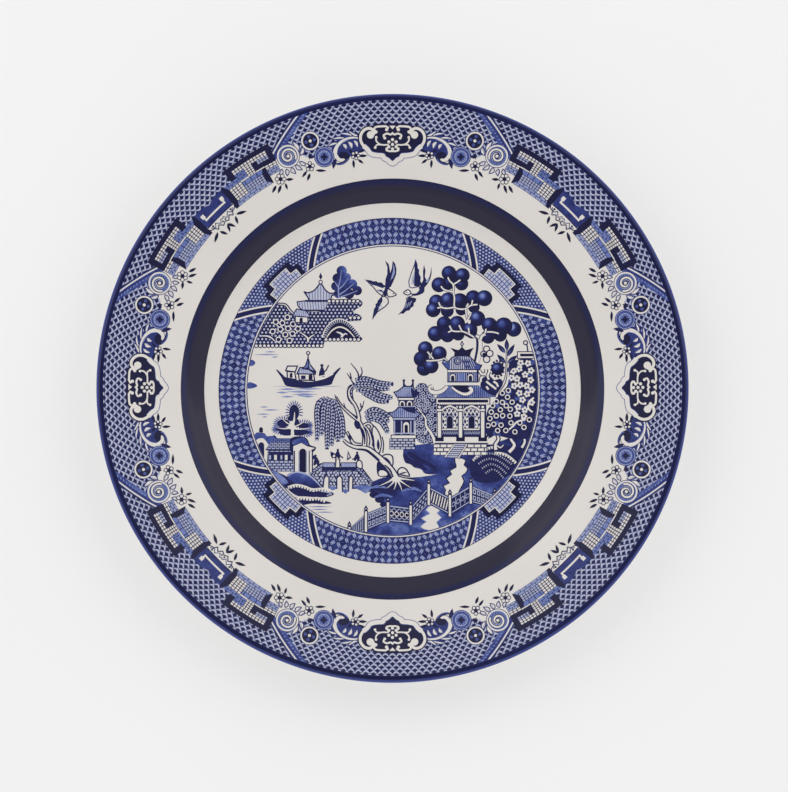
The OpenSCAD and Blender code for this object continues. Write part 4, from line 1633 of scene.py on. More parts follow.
def rocks(d):
    """Rocks at the foot of the left bank."""
    def shade(x, y):
        return 0.95 - 0.42 * max(0, min(1, (y + 44) / 7))

    d.fill(loop([
        (-56.5, -33), (-52, -35.6), (-46.6, -38.2), (-42, -41.6), (-46, -43), (-52, -44.6),
        (-58, -40)]), DARK, 0.2)
    d.fill(loop([
        (-54, -35.4), (-50.4, -36.6), (-46, -40.6), (-49, -41.6), (-53, -38.6)]), SOFT, 0.4)
    mound = loop([
        (-46.6, -38.2), (-44.4, -36.4), (-41.4, -36.1), (-37, -37.6), (-33.4, -40.6),
        (-30.6, -43.6), (-36, -43.2), (-42, -42)])
    d.fill(mound, shade, 0.3)
    d.line(smooth([
        (-46.4, -38), (-42.4, -36.2), (-37.2, -37.5), (-33.6, -40.4), (-31.2, -43.2)]),
        (0.3, 0.7, 0.7, 0.3), FAINT)
    upper = (
        (-46.6, -42.8), (-43, -42), (-39, -42.7), (-36, -43.9), (-32, -43.6), (-28, -44.6),
        (-25.7, -46), (-28.6, -47.2), (-33.2, -47.4), (-38.4, -47), (-41.8, -46.8), (-44.8, -45))
    upper_crest = (
        (-46, -43.2), (-42.4, -42.2), (-38.4, -43), (-35.4, -44.2), (-31, -43.9), (-27.4, -45.2))
    lower = (
        (-43.6, -47.6), (-40.4, -47.4), (-37, -47.8), (-33.6, -47.7), (-30, -48.8), (-26.8, -50),
        (-31, -50.4), (-35.6, -50.2), (-41, -50.8))
    lower_crest = ((-42.8, -48.3), (-39.6, -47.8), (-36.2, -48.2), (-33, -48), (-29.4, -49.2))
    for body, crest in ((upper, upper_crest), (lower, lower_crest)):
        d.fill(loop(body), DARK, 0.2)
        serrated(d, crest, DARK)
    d.line(smooth([(-31.6, -44.8), (-28.4, -45.2), (-26.8, -46), (-29, -46.5)]), 0.4, FAINT)
    water(d, ((-38, -27, -51.6), (-36, -28.6, -52.8), (-34, -26, -54)), 0.5, SOFT)


def house(d):
    """Low house and gate on the left bank, with a spiky tree behind and rocks below."""
    d.piece = "house_print"
    for part in (spiky_tree, low_house, gatehouse, rocks):
        part(d)


def boat(d):
    """Covered boat with a boatman."""
    d.piece = "boat_print"
    water(d, ((-52.6, -22.6, 1.8),), 0.45, SOFT)
    water(d, (
        (-50.6, -42, 0.5), (-43.4, -31, 0.7), (-47, -35.6, -0.6), (-44.6, -33, -1.8),
        (-51.4, -46, -1), (-49.4, -43.6, -2.8), (-40, -34.6, -2.7)), 1, 0.3)
    hull_shape = smooth([
        (-51.2, 9.2), (-48.6, 6.6), (-45, 5.2), (-42, 4.6), (-37, 3.8), (-32, 4.6), (-28.2, 6),
        (-23.2, 10.4)], 3)
    hull_shape += smooth([
        (-25.6, 7.2), (-26.4, 4.6), (-27.2, 2.6), (-32, 1.9), (-37, 1.1), (-42, 1.2), (-46.6, 1.9),
        (-47.8, 3.8), (-49.2, 6.6)], 3)
    d.fill(hull_shape, DARK, 0.1)
    d.edged([(-47.2, 8.8), (-46.4, 10.8), (-42, 10.8), (-43, 8.2)], 0.56, DARK, 0)
    d.edged([(-46.6, 8.4), (-43.2, 8.2), (-42.6, 4.8), (-46.4, 5.4)], 0.56, DARK, 0)
    d.arch(-44.8, 5.6, 1.2, 2.2, NAVY)
    d.line([(-51.2, 9.2), (-48.6, 6.2), (-46.8, 2.6)], (0.5, 1.3, 1.4), DARK)
    d.line([(-23, 10), (-25.6, 7.2), (-27.6, 3)], (0.5, 1.1, 1.4), DARK)
    d.edged([
        (-42.2, 7.4), (-40.9, 10.2), (-36.2, 10.2), (-34.2, 7.2), (-37.2, 7)], 0.56, DARK, 0.12)
    hatch(d, -41.2, -36.4, 7.8, 9.8, 0.9, 0.2, SOFT, 0.5)
    d.edged([(-41.6, 7.4), (-34.8, 7.2), (-34.4, 4.4), (-41.2, 4.6)], 0.56, DARK, 0)
    d.arch(-36.2, 4.6, 1.7, 2.6, NAVY)
    d.box(-40.4, 5, -38.4, 6.6, DARK)
    d.fill([
        (-40.4, 9.4), (-38.6, 11.2), (-37.3, 15.4), (-36.2, 11.6), (-33.6, 8.4),
        (-34, 6.8), (-37, 9)], DARK)
    d.fill([(-39.2, 9.6), (-38, 11.2), (-37.5, 13.4), (-37.3, 10.4)], SOFT)
    d.fill([(-37, 13), (-36.4, 11), (-34.8, 8.8), (-36.6, 9.6)], FAINT)
    d.ring(-37.3, 16.6, 0.95, 0.45, DARK, 0, 10)
    d.stroke(-37.3, 16, -37.3, 14.6, 0.51, DARK)
    figure(d, -31.3, 6, 0.2, 1.2)
    d.line([(-30.6, 8.2), (-29.4, 8.8), (-28.2, 11.2)], 0.56, DARK)
    for path in (((-33.4, 6), (-30, 6.6), (-25.4, 9.2)), ((-31.8, 5), (-28.6, 6), (-26.2, 7.4))):
        d.line(path, 0.5, 0)


def island(d):
    """Far shore with a tower, a lobed tree and sown ground."""
    d.piece = "island_print"

    def shade(x, y):
        return min(0.95, max(0.5, 0.76 - 0.012 * (y - 46) * (x + 23)))

    water(d, (
        (-61, -50, 15.9), (-56.4, -51.6, 17.1), (-53.6, -50.4, 14.8), (-58.6, -54.8, -7.4),
        (-57.4, -50, -8.7), (-60, -54, -10.6), (-57.6, -55.2, -11.8), (-42, -34, -0.6),
        (-42, -38.8, -2.4)), 0.7, PALE)
    d.fill(loop([(-62.6, 13.6), (-60.8, 12.8), (-61, 11.4), (-63, 10.8)]), MID, 0.4)
    d.fill(loop([(-63.6, 3.6), (-60.4, 2.8), (-60, 1.6), (-63.8, 0.8)]), MID, 0.4)
    for x, y, r in (
            (-22.5, 53.2, 2.3), (-24.4, 49.9, 2.2), (-20.4, 50.2, 2.1), (-25.2, 46.4, 2),
            (-17.8, 47.3, 2.2), (-15.6, 44.4, 2.1), (-21.6, 46.6, 3.4), (-19.2, 42.9, 2.3),
            (-24, 43, 2), (-22.6, 50, 2.4), (-22, 43.6, 2.2)):
        d.fill(circle(x, y, r, 16), shade, 0.6)
    for path in (
            ((-23.6, 41), (-24, 45), (-23.2, 49), (-22.6, 53.6)),
            ((-23.8, 45), (-21.6, 47), (-19.6, 50)), ((-23.4, 42.6), (-20.6, 44.6), (-17, 47.6)),
            ((-22.8, 41.6), (-19.4, 42.8), (-15.4, 44.4)), ((-24, 46), (-25.8, 48.6))):
        d.line(smooth(path), (0.6, 0.4, 0.2), PALE)
    bell = smooth([
        (-31.8, 48), (-33, 46.4), (-34.8, 44.4), (-37.4, 43.4), (-39, 43.8), (-37.6, 41.6),
        (-36.6, 39.6)], 3)
    bell += [(-27.4, 39.6)]
    bell += smooth([(-27, 42), (-24.8, 43.4), (-27.6, 43.2), (-29.6, 44.6), (-31, 46.6)], 3)
    d.mask(bell, 0.06, 0.1)
    hatch(d, -38, -26, 39.6, 48, 1.25, 0.26, DEEP)
    d.unmask()
    d.line(bell, 0.6, DARK, closed=True)
    d.fill([(-31.8, 52.4), (-31, 50.6), (-31.8, 49.2), (-32.6, 50.6)], DARK)
    d.ring(-31.8, 48.2, 1, 0.4, DARK, 0, 10)
    lower = smooth([(-42.2, 39.4), (-41.6, 37.2), (-39.4, 35.6)], 3) + [(-30, 35.6), (-27.6, 39.8)]
    lower += [(-39, 39.8)]
    d.mask(lower, 0.06, 0.1)
    hatch(d, -42, -28, 35, 40, 1.2, 0.26, DEEP, -0.6)
    d.unmask()
    d.line(lower, 0.5, DARK, closed=True)
    d.stroke(-38.6, 39.8, -27.4, 39.8, 0.9, DARK)
    d.stroke(-40.6, 35.6, -29.4, 35.6, 0.7, DARK)
    ground = smooth([
        (-64, 19.2), (-63, 26), (-57.6, 33), (-52, 38.6), (-50, 38.9), (-47, 38.4), (-44, 34),
        (-42, 35.6), (-38, 35.2), (-30, 35.4), (-28, 39.6), (-22, 40.6), (-14.2, 40.2),
        (-13.6, 37.6), (-17.6, 35), (-14, 33.4), (-14.2, 31), (-20, 30.6), (-16.6, 27.6),
        (-13.4, 23.6)], 2) + [(-14, 22), (-30, 22), (-30.6, 19)]
    d.mask(ground, DARK, 0.2)
    row = 0
    y = 19.9
    while y < 40:
        x = -62.7 + (0.85 if row % 2 else 0)
        while x < -13:
            d.dot(x, y, 0.48 if row else 0.6, 0.06, 8)
            x += 1.7
        y += 1.45
        row += 1
    d.unmask()
    hill = smooth([
        (-31, 23.4), (-29.8, 27.2), (-26.8, 30.6), (-23.4, 31.8), (-19.6, 30.4),
        (-16.4, 27.4), (-13.4, 23.4)])
    d.fill([(-13.4, 22.4), (-31, 22.4)] + hill, NAVY, 0.1)
    for x, y, dx, dy in along(hill, 1.05):
        d.stroke(x, y, x + 1.7 * dy, y - 1.7 * dx, (0.56, 0.24), 0.04)
    d.line(hill, 0.45, 0)
    d.line(smooth([
        (-29.2, 23.4), (-26.8, 26.6), (-23.4, 28.2), (-19.8, 26.8), (-16.6, 23.4)]),
        (0.4, 0.7, 0.7, 0.4), 0)
    boughs(d, (
        (((-22.6, 22.8), (-22.4, 25), (-24.8, 26)), (1.2, 1, 0.5)),
        (((-22.4, 24), (-21, 25.2), (-20, 24.8)), (0.9, 0.7, 0.4))))
    for x0, x1, y in (
            (-62, -30, 19.8), (-29.4, -14, 22.6), (-28, -14, 39.7), (-18.6, -13.4, 32.3)):
        x = x0
        while x < x1:
            d.dot(x, y, 1.05, DARK, 10)
            d.dot(x, y, 0.64, 0, 8)
            x += 1.8
    for x, y in (
            (-46.5, 32.5), (-48.7, 30), (-44, 29.5), (-49.6, 27.2), (-46.2, 27.5), (-47.4, 24.8),
            (-44.2, 25.2), (-50.4, 22.6), (-45.5, 22.2), (-51.6, 30.4), (-53, 26.2),
            (-41.4, 31.4), (-41.8, 27.4)):
        d.ring(x, y, 1.35, 0.5, 0, DARK, 12)
        d.dot(x, y, 0.34, DARK, 6)
    boughs(d, (
        (((-37.4, 21.4), (-37.6, 23.4), (-40.4, 25.6)), (0.9, 0.8, 0.4)),
        (((-37.4, 22.4), (-36, 24), (-34.4, 24.8)), (0.7, 0.6, 0.3)),
        (((-58, 24.2), (-54.6, 24), (-51.8, 21.8)), (0.4, 0.8, 0.4)),
        (((-50.6, 38.4), (-47.4, 38), (-45.4, 35.4), (-43.6, 33.8)), (0.3, 0.6, 0.4))))
    hut = [(-44.2, 33.2), (-42.4, 36.2), (-38.2, 35.4), (-36.2, 32.4)]
    d.edged(hut, 0.51, DARK, 0.1)
    hatch(d, -43, -38, 33.2, 35.6, 0.95, 0.24, MID, -0.4)
    d.edged([(-43, 33), (-37.4, 32.6), (-37.4, 30), (-43, 30.2)], 0.51, DARK, 0)
    d.arch(-40.4, 30.2, 1.4, 2.2, NAVY)


def shore(d):
    """Banks, washes and the path up to the pavilion."""
    d.piece = "shore_print"

    def wash(x, y):
        return 0.78 - 0.22 * math.exp(-((x - 21) / 9) ** 2 - ((y + 28) / 4) ** 2)

    def ground_tone(x, y):
        near_roots = math.exp(-((x - 1) / 9) ** 2 - ((y + 41) / 5) ** 2)
        return 0.64 + 0.3 * near_roots + 0.1 * math.sin(0.35 * x + 0.5 * y)

    d.fill(loop([
        (-12, -42.2), (-8.6, -40.4), (-4, -38.6), (0, -38.4), (6, -38.6), (12, -38.4), (20, -37),
        (27, -34), (41, -31), (56, -26), (62, -20), (66, -30), (50, -52), (20, -66), (-8, -66),
        (-6.4, -56), (-3.2, -50.4), (-6.4, -48), (-8.4, -46)], 2), ground_tone, 0.6)
    bank = smooth([(4.8, -25.4), (8, -24.6), (14, -23.8), (19, -23.2)], 3)
    bank += smooth([
        (44, -24), (62, -18), (64, -26), (44, -32.6), (34, -34), (26, -34.8), (20, -37),
        (14.6, -37), (12.6, -35), (9.6, -34.2), (8, -32.8), (5.6, -32), (4.6, -29)], 3)
    d.fill(bank, wash, 0.6)
    for path in (
            ((5.2, -28.6), (7.4, -31.4), (9.6, -32.2), (12.4, -33.4), (15, -35.4)),
            ((6.8, -27.4), (10, -30), (14, -31.8), (18.6, -34.2))):
        d.line(smooth(path), (1.4, 2.2, 2.2, 1.2), DARK, mottle=0.3)
    hill = loop([
        (34, -32), (36.6, -29.6), (40, -26), (44, -24.6), (50, -24.4), (56, -25.4), (60, -22),
        (62.4, -24), (56, -34), (46, -40.4), (36, -40)])
    d.fill(hill, DARK, 0.2)
    serrated(d, [(35.6, -31.2), (38, -28.6), (41.2, -26.2), (44.4, -25.2)], DARK, 1.2)
    serrated(d, [(45, -27.9), (48, -28.1), (51, -29.3), (54.4, -32.2)], DARK, 1.3)
    for k in range(4):
        arc = smooth([
            (36.4 + 1.6 * k, -31 - 2.1 * k), (41 + k, -28.6 - 2.3 * k), (46.4, -29.2 - 2.5 * k),
            (52.6 - 1.4 * k, -33.4 - 1.9 * k)])
        d.line(arc, 0.5, NAVY)
        for x, y, dx, dy in along(arc, 0.95):
            d.stroke(x, y, x - 0.9 * dy, y + 0.9 * dx, (0.2, 0.42), 0.1)
    boughs(d, (
        (((45.6, -26.4), (45.4, -24), (46.8, -21.4), (45, -17.6)), (1.6, 1.2, 1, 0.5)),
        (((51.4, -27.4), (53.8, -24.4), (52.2, -21.6), (51.4, -17.6)), (1.6, 1.3, 1, 0.4)),
        (((57, -25.4), (58.4, -22.6), (57.2, -18.6)), (1.2, 1, 0.5)),
        (((41, -21.2), (44, -19.8)), (0.4, 0.6, 0.4)),
        (((46, -24.4), (47.6, -25.4), (49, -24.2)), (0.6, 0.6, 0.4))))
    path = smooth([
        (27.4, -29.8), (27.6, -32.2), (28, -34), (25.2, -35.6), (26, -37.2), (23.6, -39),
        (25, -41), (22.4, -42.2), (23.4, -44.2), (23, -46.2), (26, -47.6)], 2)
    path += smooth([
        (28.6, -46.4), (30.2, -43.2), (31.6, -40.2), (30.6, -38), (32.2, -36.8), (33.2, -34.6),
        (31.6, -33), (32.4, -31), (30.6, -30)], 2)
    d.edged(path, 0.51, DARK, 0)
    for x, y, rx, ry in (
            (-10, -43.6, 2.4, 1.5), (-8, -46.2, 2.2, 1.6), (-5.6, -48.4, 2.2, 1.5),
            (-3.2, -50.6, 2.4, 1.4), (2, -42.4, 4.4, 1.6), (-4, -43.6, 3.6, 1.5),
            (8, -41.6, 3.4, 1.4)):
        d.fill(blob(x, y, rx, ry), DARK, 0.3)
    for path in (
            ((-10, -43.4), (-6.4, -42.6), (-2.4, -43.2)), ((4, -44.6), (9, -43.4), (13, -44.8)),
            ((-8, -47.4), (-4.4, -46.4), (0, -47.2))):
        d.line(smooth(path), (0.4, 1.4, 0.5), SOFT, mottle=0.5)


def panel(d, left, right, kind):
    """One panel of the zigzag fence, between two posts: each is x, top and bottom."""
    (x0, top0, low0), (x1, top1, low1) = left, right

    def skew(spot):
        u, v = spot
        share = u / 10
        low, top = low0 + (low1 - low0) * share, top0 + (top1 - top0) * share
        return x0 + (x1 - x0) * share, low + (top - low) * v / 8

    d.place = skew
    d.box(0, 0.3, 10, 7, DARK)
    d.box(0.4, 0.8, 9.6, 1.2, FAINT)
    d.box(0.4, 6.2, 9.6, 6.7, FAINT)
    if kind == "bars":
        for k in range(8):
            d.box(0.9 + 1.1 * k, 1.6, 1.35 + 1.1 * k, 5.8, FAINT)
    if kind == "squares":
        for row in (1.6, 4.1):
            for k in range(5):
                d.box(0.9 + 1.75 * k, row, 2.2 + 1.75 * k, row + 1.8, FAINT)
                d.box(1.25 + 1.75 * k, row + 0.4, 1.85 + 1.75 * k, row + 1.4, DARK)
    if kind == "circles":
        for k in range(4):
            d.ring(1.6 + 2.25 * k, 3.7, 1.05, 0.35, 0, DARK, 12)
            for foot, peak in ((5.8, 4.9), (1.6, 2.5)):
                d.line([(0.5 + 2.25 * k, foot), (1.6 + 2.25 * k, peak), (2.7 + 2.25 * k, foot)],
                       0.3, FAINT)
    if kind == "slanted":
        for row in range(3):
            for k in range(5):
                x, y = 1 + 1.75 * k + 0.5 * row, 2 + 1.45 * row
                d.fill([(x, y + 0.6), (x + 0.7, y), (x, y - 0.6), (x - 0.7, y)], FAINT)
    if kind == "hatch":
        for k in range(7):
            d.stroke(0.8 + 1.2 * k, 1.6, 1.9 + 1.2 * k, 5.8, 0.5, 0)
    if kind == "ovals":
        for k in range(4):
            d.ring(1.7 + 2.2 * k, 3.7, 0.9, 0.3, FAINT, DARK, 12)
            d.box(2.65 + 2.2 * k, 1.6, 2.95 + 2.2 * k, 5.8, FAINT)
    d.place = None


def fence(d):
    """Zigzag fence along the front, with the ground before it."""
    d.piece = "fence_print"

    def shade(x, y):
        return 0.62 + 0.2 * math.sin(0.45 * x) * math.sin(0.6 * y)

    posts = (
        (-19, -60.4, -66), (-11.7, -53.4, -62.6), (-2, -49.4, -58.6), (8, -50.8, -59.5),
        (16, -41.4, -50.8), (25.3, -46.2, -55.8), (34.5, -40.8, -50.2), (45, -45.4, -53))
    kinds = ("bars", "squares", "circles", "slanted", "hatch", "ovals", "squares")
    front = [(x, low + 1) for x, _, low in posts]
    d.fill(front + [(50, -56), (30, -66), (-19, -68)], shade, 0.7)
    patch = loop([
        (17.4, -50.8), (14.6, -53), (16.4, -54.6), (12.6, -56.6), (14.8, -58.2), (12.2, -60.4),
        (16, -62), (20.6, -60.8), (19.4, -58.4), (21.6, -56.4), (19.6, -54.4), (21.2, -52.6)], 2)
    d.edged(patch, 0.3, PALE, 0, 0.6)
    for left, right, kind in zip(posts, posts[1:], kinds):
        panel(d, left, right, kind)
    for x, top, low in posts:
        d.box(x - 0.95, low - 0.3, x + 0.95, top + 0.2, DARK)
        d.box(x - 0.5, low, x + 0.5, top - 0.2, 0)
        d.fill([
            (x, top + 2.6), (x + 0.9, top + 1), (x + 0.5, top), (x - 0.5, top),
            (x - 0.9, top + 1)], DARK)
        d.dot(x, top + 1, 0.3, 0, 6)


def draw_scene():
    """The whole scene, from the far shore to the fence."""
    d = Drawing(circle(0, 0, KEYLINE_R[0] - 0.05, 180))
    for motif in (
            island, boat, shore, bridge, house, blossom_clumps, big_tree, pavilion, small_pagoda,
            willow, fence, birds):
        motif(d)
    return d.triangles()


# ---------------------------------------------------------------- materials
# The streaks in the banded cobalt, and where the painted sheen on each band starts and how far it
# takes to fade in, in metres.

STREAKS_PER_METRE = 900
SHEEN_FADE = 0.000625
VERGE_SHEEN_R = 0.0902
EDGE_SHEEN_R = 0.1288


class Look:
    """A shader node tree that is built by short calls."""

    def __init__(self, tree):
        self.tree = tree

    def node(self, kind):
        return self.tree.nodes.new("ShaderNode" + kind)

    def feed(self, socket, value):
        """Give a socket a plain value, or link it to another node's output."""
        if isinstance(value, bpy.types.NodeSocket):
            self.tree.links.new(value, socket)
        else:
            socket.default_value = value

    def coords(self, kind):
        return self.node("TexCoord").outputs[kind]

    def split(self, vector):
        node = self.node("SeparateXYZ")
        self.feed(node.inputs[0], vector)
        return node.outputs

    def attribute(self, name):
        node = self.node("Attribute")
        node.attribute_name = name
        return node.outputs["Fac"]

    def noise(self, scale, detail, rough=0.5):
        node = self.node("TexNoise")
        self.feed(node.inputs["Vector"], self.coords("Object"))
        self.feed(node.inputs["Scale"], scale)
        self.feed(node.inputs["Detail"], detail)
        self.feed(node.inputs["Roughness"], rough)
        return node.outputs["Fac"]

    def math(self, operation, a, b, clamp=False):
        node = self.node("Math")
        node.operation = operation
        node.use_clamp = clamp
        self.feed(node.inputs[0], a)
        self.feed(node.inputs[1], b)
        return node.outputs[0]

    def ramp(self, factor, *stops):
        """Colour along stops, each a place from 0 to 1 and a linear colour."""
        node = self.node("ValToRGB")
        elements = node.color_ramp.elements
        while len(elements) < len(stops):
            elements.new(0.5)
        for element, (place, color) in zip(elements, stops):
            element.position = place
            element.color = (*color, 1)
        self.feed(node.inputs["Fac"], factor)
        return node.outputs["Color"]

    def bump(self, height, strength, distance):
        node = self.node("Bump")
        self.feed(node.inputs["Strength"], strength)
        self.feed(node.inputs["Distance"], distance)
        self.feed(node.inputs["Height"], height)
        return node.outputs["Normal"]


class Surface(Look):
    """A material's node tree, with the inputs of its shader."""

    def __init__(self, name, roughness):
        self.material = bpy.data.materials.new(name)
        self.material.use_nodes = True
        super().__init__(self.material.node_tree)
        self.inputs = self.tree.nodes["Principled BSDF"].inputs
        self.set("Roughness", roughness)

    def set(self, name, value):
        self.feed(self.inputs[name], value)


def grey(value):
    return (value, value, value)


def srgb(r, g, b):
    """Screen colour, 0 to 255, as linear light."""
    shares = [value / 255 for value in (r, g, b)]
    return tuple(v / 12.92 if v <= 0.04045 else ((v + 0.055) / 1.055) ** 2.4 for v in shares)


def glossy(name):
    """The fired gloss that the glaze, the bands and the print on the glaze share."""
    look = Surface(name, 0.16)
    look.set("IOR", 1.38)
    return look


def glaze_material():
    look = glossy("white_glaze")
    look.set("Base Color", look.ramp(
        look.noise(22, 4), (0.3, srgb(223, 218, 213)), (0.7, srgb(229, 224, 219))))
    look.set("Normal", look.bump(look.noise(160, 2), 0.02, 0.001))
    return look.material


def print_material():
    """Cobalt whose strength is the film's tone, with the grain and pools of a transfer."""
    look = glossy("cobalt_print")
    swing = look.math("SUBTRACT", look.noise(260, 3), 0.5)
    pools = look.math("MULTIPLY", swing, look.attribute("mottle"))
    speck = look.math("SUBTRACT", look.noise(1500, 2), 0.5)
    grain = look.math("MULTIPLY", speck, 0.22)
    strength = look.math("ADD", look.attribute("tone"), pools)
    strength = look.math("ADD", strength, grain, True)
    look.set("Base Color", look.ramp(
        strength, (0.0, srgb(198, 200, 214)), (0.18, srgb(165, 172, 205)),
        (0.42, srgb(104, 120, 180)), (0.62, srgb(58, 72, 140)),
        (0.82, srgb(38, 42, 96)), (1.0, srgb(27, 27, 60))))
    return look.material


def band_material(name, dark, light, outer, sheen_from):
    """Cobalt laid on with a brush while the plate turns.

    Fine streaks run round it. Beyond a given radius a flat colour takes over, and that colour is
    painted sheen: the light caught on the curve of the shoulder or the lip."""
    look = glossy(name)
    place = look.split(look.coords("Object"))
    xx = look.math("MULTIPLY", place["X"], place["X"])
    yy = look.math("MULTIPLY", place["Y"], place["Y"])
    radius = look.math("SQRT", look.math("ADD", xx, yy), 0)
    angle = look.math("ARCTAN2", place["Y"], place["X"])
    wrapped = look.node("CombineXYZ")
    look.feed(wrapped.inputs["X"], look.math("MULTIPLY", radius, STREAKS_PER_METRE))
    look.feed(wrapped.inputs["Y"], look.math("MULTIPLY", angle, 1.5))
    streak = look.node("TexNoise")
    look.feed(streak.inputs["Scale"], 1)
    look.feed(streak.inputs["Vector"], wrapped.outputs[0])
    # Painted sheen: beyond a set radius the streaked cobalt blends into one flat colour that stands
    # for the light caught on the curve.
    mix = look.node("Mix")
    mix.data_type = "RGBA"
    into_sheen = look.math("SUBTRACT", radius, sheen_from)
    look.feed(mix.inputs["Factor"], look.math("MULTIPLY", into_sheen, 1 / SHEEN_FADE, True))
    look.feed(mix.inputs["A"], look.ramp(streak.outputs["Fac"], (0.25, dark), (0.75, light)))
    look.feed(mix.inputs["B"], (*outer, 1))
    look.set("Base Color", mix.outputs["Result"])
    return look.material


def biscuit_material():
    look = Surface("biscuit", 0.85)
    grit = look.noise(1800, 4, 0.7)
    look.set("Base Color", look.ramp(
        grit, (0.3, srgb(206, 192, 170)), (0.62, srgb(228, 218, 200))))
    look.set("Normal", look.bump(grit, 0.4, 0.0002))
    return look.material


def floor_material():
    """Pale paper, lit a little from within so that it stays even."""
    look = Surface("paper", 0.9)
    color = look.ramp(look.noise(3, 2), (0.3, grey(0.545)), (0.7, grey(0.555)))
    look.set("Base Color", color)
    look.set("Emission Color", color)
    look.set("Emission Strength", 0.68)
    return look.material


# ---------------------------------------------------------------- assembly

def finish_piece(obj, mat, slot, *replaced):
    obj.data.materials.append(mat)
    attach(obj, "root")
    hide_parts(*replaced)


def body_shells(glaze, band, edge_colour):
    """The glaze coats and the two bands, smooth where the CAD has facets."""
    flange_x = FLANGE_END[0]
    clay_top = LIP_CENTRE[0] + (LIP_R - GLAZE) * math.cos(LIP_TOP * DEG)
    front = [(0, FLOOR_Z)] + front_line(FLOOR_R, flange_x, 0)
    front += lip_line(0, LIP_TOP, LIP_SIDE)[1:] + lip_line(-GLAZE, LIP_SIDE, LIP_TOP)
    front += front_line(clay_top, FLOOR_R, -GLAZE)[1:] + [(0, FLOOR_Z - GLAZE)]

    clay_drop = WALL - GLAZE
    foot_top, clay_foot_top = outer_wall_top(0, WALL), outer_wall_top(GLAZE, clay_drop)
    back = lip_line(0, LIP_SIDE, LIP_UNDER)
    back += front_line(back[-1][0], foot_outer(0, foot_top), -WALL)[1:]
    back += [(foot_outer(0, BARE_H), BARE_H), (foot_outer(GLAZE, BARE_H), BARE_H)]
    back += front_line(foot_outer(GLAZE, clay_foot_top), flange_x, -clay_drop)
    back += lip_line(-GLAZE, LIP_UNDER, LIP_SIDE)[1:]

    under = FLOOR_Z - WALL
    clay_under = under + GLAZE
    recess = [(0, under), (foot_inner(0, under), under),
              (foot_inner(0, BARE_H), BARE_H), (foot_inner(GLAZE, BARE_H), BARE_H),
              (foot_inner(GLAZE, clay_under), clay_under), (0, clay_under)]

    start = PLATE_R - EDGE_BAND_W
    edge = front_line(start, LIP_CENTRE[0] + (LIP_R + INK) * math.cos(LIP_TOP * DEG), INK)
    edge += lip_line(INK, LIP_TOP, BAND_END)[1:]
    edge += lip_line(0, BAND_END, LIP_TOP) + front_line(flange_x, start, 0)[1:]

    low, high = VERGE_BAND_R
    verge = front_line(low, high, INK) + front_line(high, low, 0)

    finish_piece(lathe("front_coat", front), glaze, "white_glaze", "front_glaze")
    finish_piece(lathe("back_coat", back), glaze, "white_glaze", "back_glaze")
    finish_piece(lathe("recess_coat", recess), glaze, "white_glaze", "recess_glaze")
    finish_piece(lathe("rim_band", edge), edge_colour, "cobalt_band", "edge_band")
    finish_piece(lathe("verge_stripe", verge), band, "cobalt_band", "verge_band")


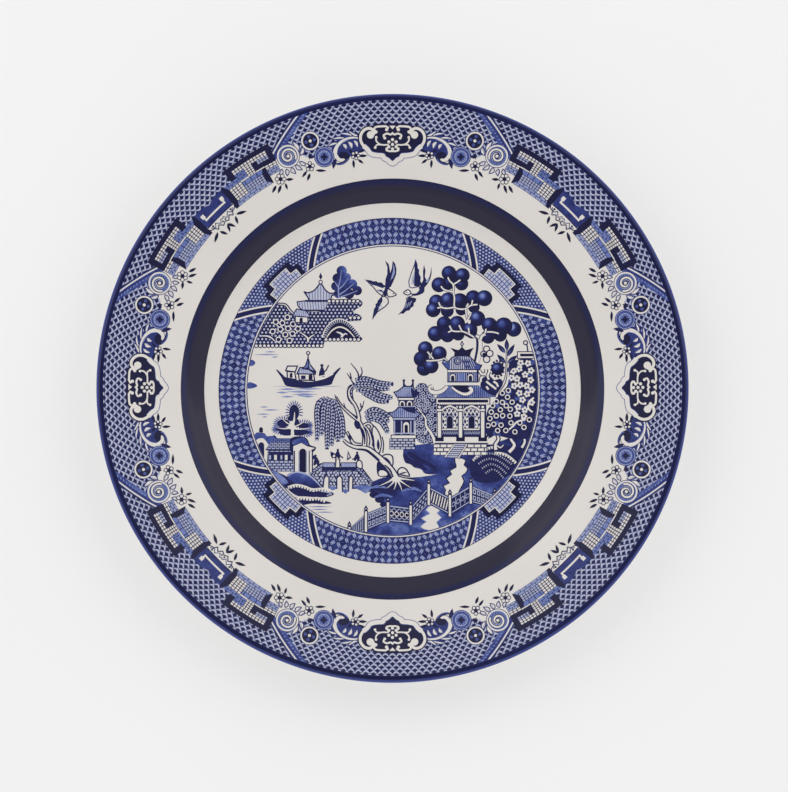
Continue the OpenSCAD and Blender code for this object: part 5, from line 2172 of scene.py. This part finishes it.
def build():
    glaze, ink, biscuit = glaze_material(), print_material(), biscuit_material()
    # Each band's last colour is painted sheen. On the verge band it is a bluer strip where the
    # shoulder curves, and on the edge band it is a lighter blue where the lip catches the light.
    band = band_material("cobalt_band", srgb(19, 15, 42), srgb(29, 23, 54),
                         srgb(13, 16, 66), VERGE_SHEEN_R)
    edge_colour = band_material("cobalt_edge", srgb(14, 16, 56), srgb(24, 30, 82),
                                srgb(46, 62, 138), EDGE_SHEEN_R)
    for name in ("clay_floor", "foot_ring", "clay_verge", "clay_flange"):
        for slot in bpy.data.objects[name].material_slots:
            slot.material = biscuit
    body_shells(glaze, band, edge_colour)

    quarter = mirrored(draw_outer_border())
    for k in range(1, 5):
        finish_piece(film("border_print_%d" % k, turned(quarter, 2 - k)), ink, "cobalt_print",
                     "border_transfer_%d" % k)
    inner = mirrored(draw_inner_border())
    whole = [triangle for k in range(4) for triangle in turned(inner, k)]
    finish_piece(film("inner_border_print", whole), ink, "cobalt_print", "inner_border_transfer")
    keyline = Drawing(circle(0, 0, KEYLINE_R[1], 240))
    keyline.discs(0, 0, 240, (KEYLINE_R[1], DEEP), (KEYLINE_R[0], 0))
    finish_piece(film("keyline_print", keyline.triangles()), ink, "cobalt_print", "keyline")
    motifs = {}
    for triangle in draw_scene():
        motifs.setdefault(triangle[3], []).append(triangle)
    for name, triangles in motifs.items():
        finish_piece(film(name, triangles), ink, "cobalt_print", "centre_transfer")


# ---------------------------------------------------------------- stage, light and camera
# The camera looks at a point near the middle of the rim's height, in metres.

CAMERA_TILT = 6 * DEG
CAMERA_DISTANCE = 2.5
CAMERA_AIM = (0.000659, -0.004044, 0.021)
VIEW_WIDTH = 0.3459


def softbox(name, place, power):
    """Square light 1.6 m across that faces the plate."""
    light = bpy.data.lights.new(name, "AREA")
    light.size = 1.6
    light.energy = power
    lamp = new_object(name, light)
    lamp.location = place
    lamp.rotation_euler = (-Vector(place)).to_track_quat("-Z", "Y").to_euler()


def stage():
    """Paper floor, a pale dome that is darker overhead, and two soft lights."""
    bpy.ops.mesh.primitive_plane_add(size=6, location=(0, 0, 0))
    floor = bpy.context.object
    floor.name = "paper_floor"
    floor.data.materials.append(floor_material())
    world = bpy.data.worlds.new("studio")
    bpy.context.scene.world = world
    world.use_nodes = True
    look = Look(world.node_tree)
    back = world.node_tree.nodes["Background"]
    height = look.split(look.coords("Generated"))["Z"]
    look.feed(back.inputs["Color"], look.ramp(
        height, (0.0, grey(0.6)), (0.3, grey(1)), (0.58, grey(1)), (0.66, grey(0.8)),
        (0.86, grey(0.72)), (0.92, grey(0.26)), (1.0, grey(0.26))))
    look.feed(back.inputs["Strength"], 1.08)
    softbox("key_softbox", (-1.3, 0.9, 1.6), 6)
    softbox("fill_softbox", (1.3, 0.9, 1.6), 5)


def camera():
    """From above, tilted a little towards the diner's side."""
    data = bpy.data.cameras.new("camera")
    data.sensor_fit = "HORIZONTAL"
    data.sensor_width = 36
    data.lens = data.sensor_width * CAMERA_DISTANCE / VIEW_WIDTH
    cam = new_object("camera", data)
    back = Vector((0, -math.sin(CAMERA_TILT), math.cos(CAMERA_TILT)))
    cam.location = Vector(CAMERA_AIM) + CAMERA_DISTANCE * back
    cam.rotation_euler = (CAMERA_TILT, 0, 0)
    bpy.context.scene.camera = cam


build()
stage()
camera()
bpy.context.scene.view_settings.view_transform = "Standard"
